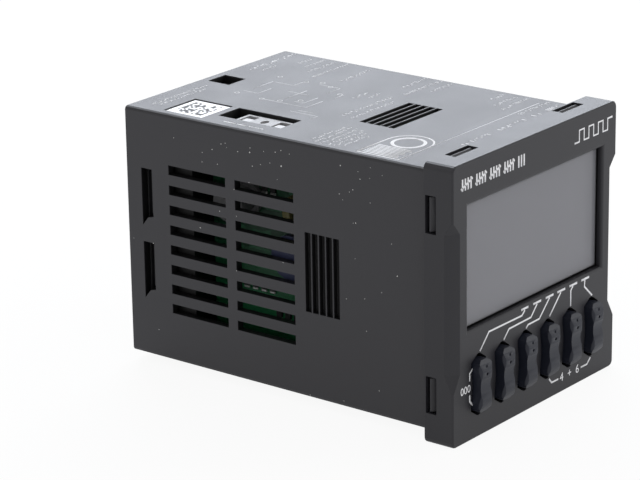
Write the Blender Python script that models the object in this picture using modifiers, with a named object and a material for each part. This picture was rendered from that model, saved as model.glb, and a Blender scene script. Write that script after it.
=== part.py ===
# Panel counter, 48 x 48 mm front, screw terminals at the rear.
# X runs right, Y into the panel, Z up. Lengths are metres; MM turns millimetres into them.
# The origin lies on the standing plane, below the middle of the whole object.
# Inside the model every depth is measured from the bezel's front face.

import math

import bmesh
import bpy
from mathutils import Matrix, Vector

MM = 0.001

# Clearances between pieces.
SEAT_GAP = 0.3 * MM
FINE_GAP = 0.15 * MM

# Front bezel.
BEZEL_SIZE = 48.0 * MM
BEZEL_THICK = 5.7 * MM
BEZEL_CORNER_R = 1.0 * MM
BEZEL_EDGE_R = 0.25 * MM
BEZEL_WALL = 3.0 * MM
KEY_PANEL_THICK = 2.0 * MM
RABBET_DEPTH = 0.6 * MM
SKIRT_END_MARGIN = 3.75 * MM
SKIRT_THICK = 0.9 * MM

# Latch windows near the bezel's rear edge, and the hooked case tongues that snap into them.
LATCH_CORNER_MARGIN = 5.45 * MM
LATCH_NOTCH_WIDTH = 6.4 * MM
LATCH_NOTCH_DEPTH = 2.4 * MM
LATCH_BRIDGE = 0.3 * MM
LATCH_TONGUE_INSET = 0.15 * MM
LATCH_HOOK_INSET = 0.2 * MM
LATCH_HOOK_GAP = 0.7 * MM
LATCH_HOOK_SLOPE = 0.9 * MM

# Finger recesses on the two front edges.
RECESS_WIDTH = 2.0 * MM
RECESS_DEPTH = 1.65 * MM
RECESS_LOW_Z = 12.5 * MM
RECESS_TOP_MARGIN = 11.5 * MM
RECESS_RUNOUT_LOW = 3.5 * MM
RECESS_RUNOUT_HIGH = 2.4 * MM

# Display.
DISPLAY_SIDE_MARGIN = 4.25 * MM
DISPLAY_TOP_MARGIN = 7.25 * MM
DISPLAY_ABOVE_KEYS = 10.0 * MM
DISPLAY_EDGE_R = 0.5 * MM
LENS_SUNK = 1.1 * MM
LENS_THICK = 0.8 * MM
LCD_INSET = 0.1 * MM
LCD_THICK = 2.6 * MM
LCD_FRAME_WALL = 0.7 * MM
LIGHT_GUIDE_THICK = 2.9 * MM
LIGHT_GUIDE_DOT_R = 0.9 * MM

# Keys.
KEY_COUNT = 6
KEY_ROW_MARGIN = 7.25 * MM
KEY_ROW_Z = 9.3 * MM
KEY_PROUD = 1.8 * MM
KEY_DIP = 0.4 * MM
KEY_END_FALL = 0.8 * MM
KEY_ROUND_WIDTH = 0.75 * MM
KEY_ROUND_DEPTH = 0.9 * MM
KEY_HALF_HEIGHT = 4.7 * MM
KEY_SHOULDER = 3.5 * MM
KEY_LOBE = 1.75 * MM
KEY_NECK = 1.35 * MM
KEY_SIDE_GAP = 0.35 * MM
KEY_HOLE_TIP = 5.42 * MM
KEY_HOLE_TIP_R = 1.0 * MM
KEY_HOLE_SHOULDER = 4.2 * MM
KEY_FLANGE_THICK = 0.8 * MM
KEY_FLANGE_LIP = 0.4 * MM
KEY_FLANGE_GAP = 0.5 * MM
KEY_PLUNGER_R = 1.1 * MM
KEY_PLUNGER_OFFSET = 3.1 * MM
KEY_PLUNGER_LENGTH = 1.3 * MM
KEY_RIB_THICK = 0.8 * MM
KEY_RIB_LENGTH = 0.5 * MM
KEY_PIT_R = 0.28 * MM
KEY_PIT_SPACING = 1.33 * MM
KEY_PIT_DEPTH = 0.3 * MM

# Rubber mat below the keys.
MAT_THICK = 1.0 * MM
MAT_MARGIN = 1.6 * MM
MAT_DOME_R = 1.4 * MM
MAT_DOME_TOP_R = 1.1 * MM
MAT_RIDGE_THICK = 1.0 * MM

# Case.
CASE_STEP = 1.6 * MM
CASE_WALL = 1.5 * MM
CASE_CORNER_R = 0.6 * MM
OVERALL_REAR = 70.3 * MM

# Vents on the two sides.
VENT_ROWS = 8
VENT_HEIGHT = 1.68 * MM
VENT_TOP_MARGIN = 9.07 * MM
VENT_BOTTOM_MARGIN = 8.88 * MM
VENT_REAR_MARGIN = 9.45 * MM
VENT_LENGTH = 12.6 * MM
VENT_BRIDGE = 2.05 * MM

# Ratchet racks for the mounting adapter, one on each side of the case.
RACK_TEETH = 5
RACK_FROM_VENTS = 2.3 * MM
RACK_PITCH = 1.49 * MM
RACK_SLOT = 1.22 * MM
RACK_LENGTH = 14.0 * MM
RACK_DEPTH = 1.0 * MM

# Rear latch windows.
SIDE_WINDOW_INNER = 1.5 * MM
SIDE_WINDOW_HEIGHT = 10.35 * MM
SIDE_WINDOW_FROM_REAR = 5.7 * MM
SIDE_WINDOW_LENGTH = 2.45 * MM
SIDE_WINDOW_SLANT = 1.8 * MM
TOP_WINDOW_SIZE = 4.7 * MM
TOP_WINDOW_X = 0.5 * MM
TOP_WINDOW_FROM_REAR = 6.2 * MM

# Code label recess on the top.
LABEL_SIZE = 8.4 * MM
LABEL_FROM_SIDE = 6.1 * MM
LABEL_FROM_REAR = 11.4 * MM
LABEL_RECESS = 0.25 * MM

# Setting switch below its window in the top.
SWITCH_WINDOW_WIDTH = 5.6 * MM
SWITCH_WINDOW_LENGTH = 13.5 * MM
SWITCH_WINDOW_FROM_REAR = 30.6 * MM
SWITCH_BODY_LENGTH = 10.4 * MM
SWITCH_BODY_WIDTH = 4.5 * MM
SWITCH_BODY_HEIGHT = 4.4 * MM
SWITCH_SUNK = 0.5 * MM
SLIDER_COUNT = 2
SLIDER_PITCH = 7.0 * MM
SLIDER_WIDTH = 1.9 * MM
SLIDER_LENGTH = 2.1 * MM
SLIDER_TRAVEL = 0.8 * MM
SLIDER_HEIGHT = 1.2 * MM
SLIDER_SUNK = 0.15 * MM
SWITCH_DIMPLE_LENGTH = 1.9 * MM
SWITCH_DIMPLE_WIDTH = 1.3 * MM
SWITCH_DIMPLE_DEPTH = 0.35 * MM

# Circuit boards.
BOARD_THICK = 1.6 * MM
MAIN_BOARD_MARGIN = 9.05 * MM
POWER_BOARD_MARGIN = 7.95 * MM
FRONT_BOARD_SIDE_GAP = 0.5 * MM
RAIL_THICK = 0.9 * MM
RAIL_HEIGHT = 1.4 * MM

# Terminal block.
BLOCK_FLOOR = 0.9 * MM
BLOCK_SUNK = 0.3 * MM
BLOCK_WALL = 1.6 * MM
BLOCK_CAVITY_DEPTH = 2.5 * MM
BLOCK_SIDE_WALL = 1.45 * MM
TERMINALS_PER_ROW = 6
BARRIER_THICK = 1.0 * MM
BAY_INNER = 5.5 * MM
BAY_OUTER_WALL = 3.15 * MM
BAY_DEPTH = 7.0 * MM
SCREW_FROM_BAY_END = 3.2 * MM
WINDOW_POCKET_DEPTH = 1.1 * MM
TOP_POCKET_DEPTH = 2.4 * MM
HOOK_LENGTH = 0.7 * MM
HOOK_REACH = 0.85 * MM

# Terminal screws and plates.
SCREW_HEAD_HEIGHT = 1.9 * MM
SCREW_HEAD_OVERHANG = 0.95 * MM
SCREW_SHANK_LENGTH = 3.4 * MM
SCREW_SLOT_WIDTH = 0.8 * MM
SCREW_SLOT_DEPTH = 0.9 * MM
PLATE_THICK = 0.8 * MM

# Electronic parts on the boards. Air is the room left between a part and what it faces.
PART_GAP = 1.2 * MM
CORE_LENGTH = 18.0 * MM
CORE_HEIGHT = 15.0 * MM
CORE_AIR = 7.9 * MM
CORE_LEG = 5.0 * MM
CORE_YOKE = 3.2 * MM
CORE_WINDOW = 3.5 * MM
CORE_LIFT = 3.5 * MM
CORE_FROM_BLOCK = 3.0 * MM
BOBBIN_WALL = 2.1 * MM
RELAY_LENGTH = 19.0 * MM
RELAY_HEIGHT = 10.2 * MM
RELAY_AIR = 7.6 * MM
RELAY_FROM_BLOCK = 4.0 * MM
RELAY_EDGE_R = 0.5 * MM
BIG_CAP_R = 5.0 * MM
BIG_CAP_AIR = 6.9 * MM
BIG_CAP_FROM_FRONT = 2.5 * MM
BIG_CAP_LIFT = 3.5 * MM
SMALL_CAP_R = 4.0 * MM
SMALL_CAP_AIR = 0.85 * MM
SMALL_CAP_FROM_BLOCK = 20.5 * MM
SMALL_CAP_DROP = 19.95 * MM
CAP_GROOVE = 0.35 * MM
DISC_R = 2.6 * MM
DISC_THICK = 1.8 * MM
DISC_FROM_BLOCK = 18.2 * MM
DISC_DROP = 12.95 * MM
CHOKE_R = 3.3 * MM
CHOKE_WAIST_R = 2.3 * MM
CHOKE_FLANGE = 0.9 * MM
CHOKE_LENGTH = 5.6 * MM
CHOKE_FROM_BLOCK = 6.0 * MM
CHOKE_DROP = 13.45 * MM
CHIP_SIZE = 10.0 * MM
CHIP_THICK = 1.4 * MM
CHIP_FROM_CONNECTOR = 2.5 * MM
CHIP_LIFT = 5.45 * MM
CONNECTOR_WIDTH = 2.7 * MM
CONNECTOR_LENGTH = 5.0 * MM
CONNECTOR_HEIGHT = 18.0 * MM

# Places that follow from the sizes.
CENTRE_Z = BEZEL_SIZE / 2
BEZEL_HALF = BEZEL_SIZE / 2
BEZEL_INNER = BEZEL_HALF - BEZEL_WALL
CASE_HALF = BEZEL_HALF - CASE_STEP
CASE_INNER = CASE_HALF - CASE_WALL
CASE_TOP_Z = CENTRE_Z + CASE_HALF
CASE_FRONT_Y = BEZEL_THICK - RABBET_DEPTH + SEAT_GAP
FRONT_Y = KEY_PROUD - (OVERALL_REAR + KEY_PROUD) / 2
SKIRT_WIDTH = 2 * (CASE_INNER - SKIRT_END_MARGIN)
LATCH_OFFSET = CASE_INNER - LATCH_CORNER_MARGIN
RECESS_HIGH_Z = BEZEL_SIZE - RECESS_TOP_MARGIN
DISPLAY_BOTTOM_Z = KEY_ROW_Z + DISPLAY_ABOVE_KEYS
DISPLAY_WIDTH = BEZEL_SIZE - 2 * DISPLAY_SIDE_MARGIN
DISPLAY_HEIGHT = BEZEL_SIZE - DISPLAY_TOP_MARGIN - DISPLAY_BOTTOM_Z
DISPLAY_Z = DISPLAY_BOTTOM_Z + DISPLAY_HEIGHT / 2
LENS_WIDTH = DISPLAY_WIDTH - 2 * SEAT_GAP
LENS_HEIGHT = DISPLAY_HEIGHT - 2 * SEAT_GAP
LCD_WIDTH = LENS_WIDTH - 2 * LCD_INSET
LCD_HEIGHT = LENS_HEIGHT - 2 * LCD_INSET
LCD_Y = LENS_SUNK + LENS_THICK + SEAT_GAP
LCD_FRAME_HALF_X = LCD_WIDTH / 2 + SEAT_GAP + LCD_FRAME_WALL
LCD_FRAME_HALF_Z = LCD_HEIGHT / 2 + SEAT_GAP + LCD_FRAME_WALL
LIGHT_GUIDE_Y = LCD_Y + LCD_THICK + SEAT_GAP
FRONT_BOARD_Y = LIGHT_GUIDE_Y + LIGHT_GUIDE_THICK + SEAT_GAP
SKIRT_END_Y = FRONT_BOARD_Y - SEAT_GAP
BOARDS_FRONT_Y = FRONT_BOARD_Y + BOARD_THICK + SEAT_GAP
KEY_PITCH = (BEZEL_SIZE - 2 * KEY_ROW_MARGIN) / (KEY_COUNT - 1)
KEY_FLANGE_Y = KEY_PANEL_THICK + KEY_FLANGE_GAP
KEY_PIVOT_Y = KEY_FLANGE_Y + KEY_FLANGE_THICK + KEY_RIB_LENGTH
MAT_Y = FRONT_BOARD_Y - SEAT_GAP - MAT_THICK
VENT_TOP_Z = CASE_TOP_Z - VENT_TOP_MARGIN
VENT_PITCH = (2 * CASE_HALF - VENT_TOP_MARGIN - VENT_BOTTOM_MARGIN - VENT_HEIGHT) / (VENT_ROWS - 1)
VENT_REAR_Y = OVERALL_REAR - VENT_REAR_MARGIN
VENT_FRONT_Y = VENT_REAR_Y - 2 * VENT_LENGTH - VENT_BRIDGE
RACK_REAR_Y = VENT_FRONT_Y - RACK_FROM_VENTS
SIDE_WINDOW_Y = OVERALL_REAR - SIDE_WINDOW_FROM_REAR
TOP_WINDOW_Y = OVERALL_REAR - TOP_WINDOW_FROM_REAR
LABEL_X = LABEL_FROM_SIDE - CASE_HALF
LABEL_Y = OVERALL_REAR - LABEL_FROM_REAR
BLOCK_REAR_Y = OVERALL_REAR - BLOCK_SUNK
BLOCK_LENGTH = BAY_DEPTH + SCREW_SHANK_LENGTH - PLATE_THICK + BLOCK_FLOOR + BLOCK_CAVITY_DEPTH
BLOCK_FRONT_Y = BLOCK_REAR_Y - BLOCK_LENGTH
BLOCK_HALF = CASE_INNER - SEAT_GAP
TERMINAL_PITCH = (2 * (BLOCK_HALF - BLOCK_SIDE_WALL) + BARRIER_THICK) / TERMINALS_PER_ROW
BAY_WIDTH = TERMINAL_PITCH - BARRIER_THICK
BAY_HEIGHT = BLOCK_HALF - BAY_INNER - BAY_OUTER_WALL
BAY_FLOOR_Y = BLOCK_REAR_Y - BAY_DEPTH
SCREW_HEAD_R = BAY_WIDTH / 2 - SEAT_GAP
SCREW_SHANK_R = SCREW_HEAD_R - SCREW_HEAD_OVERHANG
BOARDS_REAR_Y = BLOCK_FRONT_Y - SEAT_GAP
BOARD_TAIL_Y = BLOCK_FRONT_Y + BLOCK_CAVITY_DEPTH - SEAT_GAP
BOARD_TAIL_HALF = BLOCK_HALF - BLOCK_WALL - SEAT_GAP
BOARD_BOTTOM_Z = CENTRE_Z - CASE_INNER + SEAT_GAP
BOARD_TOP_Z = CENTRE_Z + CASE_INNER - SEAT_GAP
MAIN_BOARD_X = MAIN_BOARD_MARGIN - CASE_INNER
POWER_BOARD_X = CASE_INNER - POWER_BOARD_MARGIN
MAIN_FACE_X = MAIN_BOARD_X - BOARD_THICK / 2 - SEAT_GAP
POWER_FACE_X = POWER_BOARD_X - BOARD_THICK / 2 - SEAT_GAP
BOARD_ROOM = POWER_FACE_X - MAIN_BOARD_X - BOARD_THICK / 2
SWITCH_TOP_Z = CASE_TOP_Z - SWITCH_SUNK
SWITCH_BODY_X = MAIN_FACE_X - SWITCH_BODY_WIDTH / 2
SWITCH_WINDOW_Y = OVERALL_REAR - SWITCH_WINDOW_FROM_REAR
SWITCH_BODY_Y = SWITCH_WINDOW_Y + SEAT_GAP + SWITCH_BODY_LENGTH / 2
SWITCH_WINDOW_LEFT = SWITCH_BODY_X - SWITCH_BODY_WIDTH / 2 - SEAT_GAP


def clear_scene():
    for old in list(bpy.data.objects):
        bpy.data.objects.remove(old, do_unlink=True)


def new_collection(name):
    group = bpy.data.collections.new(name)
    bpy.context.scene.collection.children.link(group)
    return group


clear_scene()
PARTS = new_collection("panel_counter")
CUTTERS = new_collection("cutters")
FRAME = bpy.data.objects.new("counter_frame", None)
FRAME.location = (0, FRONT_Y, 0)
PARTS.objects.link(FRAME)


def material(name, colour, roughness, metallic=0.0):
    mat = bpy.data.materials.new(name)
    mat.use_nodes = True
    shader = mat.node_tree.nodes["Principled BSDF"]
    shader.inputs["Base Color"].default_value = (*colour, 1.0)
    shader.inputs["Roughness"].default_value = roughness
    shader.inputs["Metallic"].default_value = metallic
    mat.diffuse_color = (*colour, 1.0)
    return mat


# Mesh makers. Each one returns a mesh in the frame of the object that will hold it.
def box_mesh(name, boxes):
    """One mesh of boxes, each given by its low and high corner."""
    shape = bmesh.new()
    for low, high in boxes:
        size = Vector(high) - Vector(low)
        middle = (Vector(high) + Vector(low)) / 2
        place = Matrix.Translation(middle) @ Matrix.Diagonal((*size, 1.0))
        bmesh.ops.create_cube(shape, size=1.0, matrix=place)
    mesh = bpy.data.meshes.new(name)
    shape.to_mesh(mesh)
    shape.free()
    return mesh


def bevel_edges(mesh, chosen, radius, segments):
    shape = bmesh.new()
    shape.from_mesh(mesh)
    edges = [edge for edge in shape.edges if chosen(edge)]
    bmesh.ops.bevel(shape, geom=edges, offset=radius, segments=segments, profile=0.5, affect="EDGES")
    shape.to_mesh(mesh)
    shape.free()


def runs_along_y(edge):
    way = edge.verts[1].co - edge.verts[0].co
    return abs(way.y) > 0.9 * way.length


def rod_mesh(name, rods, sides):
    """Cylinders or cones along an axis, each as start, end, start radius, end radius."""
    shape = bmesh.new()
    for start, end, r_start, r_end in rods:
        start = Vector(start)
        way = Vector(end) - start
        turn = Vector((0, 0, 1)).rotation_difference(way).to_matrix().to_4x4()
        place = Matrix.Translation(start + way / 2) @ turn
        bmesh.ops.create_cone(shape, cap_ends=True, segments=sides, radius1=r_start, radius2=r_end,
                              depth=way.length, matrix=place)
    mesh = bpy.data.meshes.new(name)
    shape.to_mesh(mesh)
    shape.free()
    return mesh


def outline_mesh(name, points, thickness, axis):
    """A flat outline given thickness along Y (points are x, z), X (y, z) or Z (x, y)."""
    curve = bpy.data.curves.new(name, "CURVE")
    curve.dimensions = "2D"
    curve.fill_mode = "BOTH"
    curve.extrude = thickness / 2
    line = curve.splines.new("POLY")
    line.points.add(len(points) - 1)
    for spot, (u, v) in zip(line.points, points):
        spot.co = (u, v, 0, 1)
    line.use_cyclic_u = True
    guide = bpy.data.objects.new(name, curve)
    CUTTERS.objects.link(guide)
    graph = bpy.context.evaluated_depsgraph_get()
    mesh = bpy.data.meshes.new_from_object(guide.evaluated_get(graph))
    bpy.data.objects.remove(guide, do_unlink=True)
    if axis == "Y":
        mesh.transform(Matrix.Rotation(math.radians(90), 4, "X"))
    elif axis == "X":
        mesh.transform(Matrix(((0, 0, 1, 0), (1, 0, 0, 0), (0, 1, 0, 0), (0, 0, 0, 1))))
    shape = bmesh.new()
    shape.from_mesh(mesh)
    bmesh.ops.remove_doubles(shape, verts=shape.verts, dist=0.001 * MM)
    bmesh.ops.recalc_face_normals(shape, faces=shape.faces)
    shape.to_mesh(mesh)
    shape.free()
    return mesh


def hull_mesh(name, corners):
    shape = bmesh.new()
    for corner in corners:
        shape.verts.new(corner)
    bmesh.ops.convex_hull(shape, input=shape.verts)
    bmesh.ops.recalc_face_normals(shape, faces=shape.faces)
    mesh = bpy.data.meshes.new(name)
    shape.to_mesh(mesh)
    shape.free()
    return mesh


def window_mesh(name, rings):
    """A closed body through upright rectangles, each given by half width, low z, high z and depth."""
    shape = bmesh.new()
    loops = [[shape.verts.new(corner) for corner in ((-half, y, low), (half, y, low), (half, y, high), (-half, y, high))]
             for half, low, high, y in rings]
    shape.faces.new(loops[0])
    shape.faces.new(loops[-1])
    for near, far in zip(loops, loops[1:]):
        for i in range(4):
            j = (i + 1) % 4
            shape.faces.new((near[i], near[j], far[j], far[i]))
    bmesh.ops.recalc_face_normals(shape, faces=shape.faces)
    mesh = bpy.data.meshes.new(name)
    shape.to_mesh(mesh)
    shape.free()
    return mesh


# Object makers.
def part(name, mesh, mat, place=(0, 0, 0)):
    piece = bpy.data.objects.new(name, mesh)
    piece.parent = FRAME
    piece.location = place
    PARTS.objects.link(piece)
    if mat and not mesh.materials:
        mesh.materials.append(mat)
    return piece


def tool(name, mesh, place=(0, 0, 0)):
    piece = bpy.data.objects.new(name, mesh)
    piece.parent = FRAME
    piece.location = place
    piece.hide_render = True
    piece.display_type = "WIRE"
    CUTTERS.objects.link(piece)
    return piece


def boolean(target, other, operation):
    step = target.modifiers.new(operation.lower() + "_" + other.name, "BOOLEAN")
    step.operation = operation
    step.solver = "EXACT"
    step.object = other
    step.show_render = step.show_viewport


def cut(target, name, mesh, place=(0, 0, 0)):
    boolean(target, tool(name, mesh, place), "DIFFERENCE")


def add(target, name, mesh, place=(0, 0, 0)):
    boolean(target, tool(name, mesh, place), "UNION")


def keep_common(target, name, mesh, place=(0, 0, 0)):
    boolean(target, tool(name, mesh, place), "INTERSECT")


def finished_mesh(piece, name):
    """The evaluated mesh of a master piece, for copies that share it. The master goes."""
    graph = bpy.context.evaluated_depsgraph_get()
    mesh = bpy.data.meshes.new_from_object(piece.evaluated_get(graph))
    mesh.name = name
    bpy.data.objects.remove(piece, do_unlink=True)
    return mesh


def smooth(mesh, angle=35):
    mesh.shade_smooth()
    mesh.set_sharp_from_angle(angle=math.radians(angle))


def all_round(offset_boxes):
    """Turns boxes on the top side, as x, y and height above the centre, onto all four sides."""
    boxes = []
    for (x0, y0, h0), (x1, y1, h1) in offset_boxes:
        boxes.append(((x0, y0, CENTRE_Z + h0), (x1, y1, CENTRE_Z + h1)))
        boxes.append(((x0, y0, CENTRE_Z - h1), (x1, y1, CENTRE_Z - h0)))
        boxes.append(((h0, y0, CENTRE_Z + x0), (h1, y1, CENTRE_Z + x1)))
        boxes.append(((-h1, y0, CENTRE_Z + x0), (-h0, y1, CENTRE_Z + x1)))
    return boxes


# Materials, colours from the photograph.
CASE_PLASTIC = material("case_plastic", (0.050, 0.050, 0.055), 0.45)
BEZEL_PLASTIC = material("bezel_plastic", (0.060, 0.060, 0.066), 0.42)
KEY_PLASTIC = material("key_plastic", (0.022, 0.024, 0.034), 0.38)
LENS_PLASTIC = material("lens_plastic", (0.55, 0.56, 0.58), 0.08)
LCD_GLASS = material("lcd_glass", (0.30, 0.31, 0.32), 0.12)
GUIDE_PLASTIC = material("light_guide_plastic", (0.80, 0.81, 0.83), 0.25)
FRAME_PLASTIC = material("frame_plastic", (0.18, 0.18, 0.19), 0.5)
MAT_RUBBER = material("mat_rubber", (0.12, 0.12, 0.13), 0.8)
BOARD_LAMINATE = material("board_laminate", (0.05, 0.22, 0.12), 0.5)
BLOCK_PLASTIC = material("block_plastic", (0.030, 0.030, 0.033), 0.5)
PLATED_STEEL = material("plated_steel", (0.62, 0.61, 0.58), 0.3, 1.0)
SWITCH_PLASTIC = material("switch_plastic", (0.42, 0.43, 0.44), 0.45)
SLIDER_PLASTIC = material("slider_plastic", (0.80, 0.80, 0.78), 0.45)
CORE_STEEL = material("core_steel", (0.16, 0.15, 0.15), 0.55, 0.8)
BOBBIN_TAPE = material("bobbin_tape", (0.72, 0.58, 0.10), 0.5)
RELAY_PLASTIC = material("relay_plastic", (0.85, 0.86, 0.86), 0.4)
CAP_SLEEVE = material("capacitor_sleeve", (0.05, 0.06, 0.20), 0.35)
FERRITE = material("ferrite", (0.10, 0.10, 0.11), 0.5)
CERAMIC_COATING = material("ceramic_coating", (0.36, 0.32, 0.14), 0.4)
CHIP_PLASTIC = material("chip_plastic", (0.02, 0.02, 0.022), 0.5)
CONNECTOR_PLASTIC = material("connector_plastic", (0.78, 0.76, 0.68), 0.5)


# Outlines that the keys and their holes share.
def waisted_side(shoulder, lobe, neck, steps):
    """Points up one side of a waisted outline, narrow in the middle and full at the lobes."""
    points = []
    for i in range(steps + 1):
        z = shoulder * (2 * i / steps - 1)
        swell = math.sin(math.pi * z / (2 * shoulder)) ** 2
        points.append((neck + (lobe - neck) * swell, z))
    return points


def key_outline():
    side = waisted_side(KEY_SHOULDER, KEY_LOBE, KEY_NECK, 8)
    cap = []
    for i in range(1, 6):
        turn = math.pi * i / 6
        cap.append((KEY_LOBE * math.cos(turn), KEY_SHOULDER + (KEY_HALF_HEIGHT - KEY_SHOULDER) * math.sin(turn)))
    half = side + cap
    return half + [(-x, -z) for x, z in half]


def key_hole_outline():
    """Waisted sides that lean in to a rounded tip at both ends."""
    wide = KEY_LOBE + KEY_SIDE_GAP
    side = waisted_side(KEY_HOLE_SHOULDER, wide, KEY_NECK + KEY_SIDE_GAP, 8)
    rise = KEY_HOLE_SHOULDER - KEY_HOLE_TIP + KEY_HOLE_TIP_R
    first = math.atan2(rise, wide) + math.acos(KEY_HOLE_TIP_R / math.hypot(wide, rise))
    tip = []
    for i in range(5):
        turn = first + (math.pi - 2 * first) * i / 4
        tip.append((KEY_HOLE_TIP_R * math.cos(turn), KEY_HOLE_TIP - KEY_HOLE_TIP_R * (1 - math.sin(turn))))
    half = side + tip
    return half + [(-x, -z) for x, z in half]


def key_side_profile():
    """Depth and height of a key in side view: two lobes with a dip between, ends rounded back."""
    back = KEY_FLANGE_Y - KEY_PIVOT_Y
    front = -KEY_PROUD - KEY_PIVOT_Y
    points = [(back, -KEY_HALF_HEIGHT), (-KEY_PIVOT_Y + KEY_PROUD / 3, -KEY_HALF_HEIGHT)]
    steps = 14
    for i in range(steps + 1):
        share = 2 * i / steps - 1
        dip = KEY_DIP * math.cos(math.pi / 2 * min(1.0, abs(share) / 0.55)) ** 2
        fall = KEY_END_FALL * (max(0.0, abs(share) - 0.55) / 0.45) ** 2
        points.append((front + dip + fall, KEY_HALF_HEIGHT * 0.97 * share))
    points += [(-KEY_PIVOT_Y + KEY_PROUD / 3, KEY_HALF_HEIGHT), (back, KEY_HALF_HEIGHT)]
    return points


def key_crown():
    """A key seen from its end: a broad back, and rounded long edges at the front."""
    wide = KEY_LOBE + 0.02 * MM
    front = -KEY_PROUD - KEY_PIVOT_Y - 0.02 * MM
    side = [(wide, 0)]
    for i in range(5):
        turn = math.pi / 2 * i / 4
        side.append((wide - KEY_ROUND_WIDTH * (1 - math.cos(turn)), front + KEY_ROUND_DEPTH * (1 - math.sin(turn))))
    return side + [(-x, y) for x, y in reversed(side)]


def key_places():
    first = -KEY_PITCH * (KEY_COUNT - 1) / 2
    return [first + KEY_PITCH * i for i in range(KEY_COUNT)]


# Front bezel: a framed plate, hollow from behind.
def bezel_blank():
    mesh = box_mesh("front_bezel", [((-BEZEL_HALF, 0, 0), (BEZEL_HALF, BEZEL_THICK, BEZEL_SIZE))])
    bevel_edges(mesh, runs_along_y, BEZEL_CORNER_R, 3)
    bevel_edges(mesh, lambda e: all(v.co.y < 0.01 * MM for v in e.verts), BEZEL_EDGE_R, 1)
    return mesh


def finger_recess(side):
    """A bevel on the front edge that runs out to a point at both ends."""
    out = side * (BEZEL_HALF + RECESS_WIDTH)
    inner = side * (BEZEL_HALF - RECESS_WIDTH)
    grow = 2 * RECESS_DEPTH
    low = RECESS_LOW_Z - 2 * RECESS_RUNOUT_LOW
    high = RECESS_HIGH_Z + 2 * RECESS_RUNOUT_HIGH
    return hull_mesh("finger_recess", [
        (inner, 0, RECESS_LOW_Z), (inner, 0, RECESS_HIGH_Z),
        (out, 0, low), (out, 0, high),
        (out, grow, RECESS_LOW_Z), (out, grow, RECESS_HIGH_Z),
        (inner, -RECESS_DEPTH, RECESS_LOW_Z), (inner, -RECESS_DEPTH, RECESS_HIGH_Z),
        (out, -RECESS_DEPTH, low), (out, -RECESS_DEPTH, high)])


def latch_notches():
    half = LATCH_NOTCH_WIDTH / 2
    y0 = BEZEL_THICK - LATCH_NOTCH_DEPTH
    inner = CASE_INNER - FINE_GAP
    spots = [((side * LATCH_OFFSET - half, y0, inner),
              (side * LATCH_OFFSET + half, BEZEL_THICK - LATCH_BRIDGE, BEZEL_HALF + 1 * MM)) for side in (-1, 1)]
    return box_mesh("latch_notches", all_round(spots))


def display_opening():
    """The opening's front edge is rounded over, in three slopes."""
    half = DISPLAY_WIDTH / 2
    high = DISPLAY_BOTTOM_Z + DISPLAY_HEIGHT
    rings = [(half + DISPLAY_EDGE_R, DISPLAY_BOTTOM_Z - DISPLAY_EDGE_R, high + DISPLAY_EDGE_R, -1 * MM)]
    for i in range(4):
        turn = math.pi / 2 * i / 3
        grow = DISPLAY_EDGE_R * (1 - math.sin(turn))
        rings.append((half + grow, DISPLAY_BOTTOM_Z - grow, high + grow, DISPLAY_EDGE_R * (1 - math.cos(turn))))
    rings.append((half, DISPLAY_BOTTOM_Z, high, KEY_PANEL_THICK + 1 * MM))
    return window_mesh("display_opening", rings)


def front_bezel():
    bezel = part("front_bezel", bezel_blank(), BEZEL_PLASTIC)
    cut(bezel, "bezel_hollow", box_mesh("bezel_hollow", [
        ((-BEZEL_INNER, KEY_PANEL_THICK, CENTRE_Z - BEZEL_INNER),
         (BEZEL_INNER, BEZEL_THICK + 1 * MM, CENTRE_Z + BEZEL_INNER))]))
    rabbet = CASE_HALF + FINE_GAP
    cut(bezel, "case_rabbet", box_mesh("case_rabbet", [
        ((-rabbet, BEZEL_THICK - RABBET_DEPTH, CENTRE_Z - rabbet), (rabbet, BEZEL_THICK + 1 * MM, CENTRE_Z + rabbet))]))
    cut(bezel, "display_opening", display_opening())
    skirts = []
    for side in (-1, 1):
        outer = CENTRE_Z + side * (CASE_INNER - SEAT_GAP)
        inner = outer - side * SKIRT_THICK
        skirts.append(((-SKIRT_WIDTH / 2, KEY_PANEL_THICK - 0.5 * MM, min(inner, outer)),
                       (SKIRT_WIDTH / 2, SKIRT_END_Y, max(inner, outer))))
    add(bezel, "bezel_skirts", box_mesh("bezel_skirts", skirts))
    cut(bezel, "latch_notches", latch_notches())
    for i, x in enumerate(key_places(), 1):
        hole = outline_mesh("key_hole_%d" % i, key_hole_outline(), 3 * KEY_PANEL_THICK, "Y")
        cut(bezel, "key_hole_%d" % i, hole, (x, KEY_PANEL_THICK / 2, KEY_ROW_Z))
    cut(bezel, "finger_recess_left", finger_recess(-1))
    cut(bezel, "finger_recess_right", finger_recess(1))
    return bezel


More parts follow.
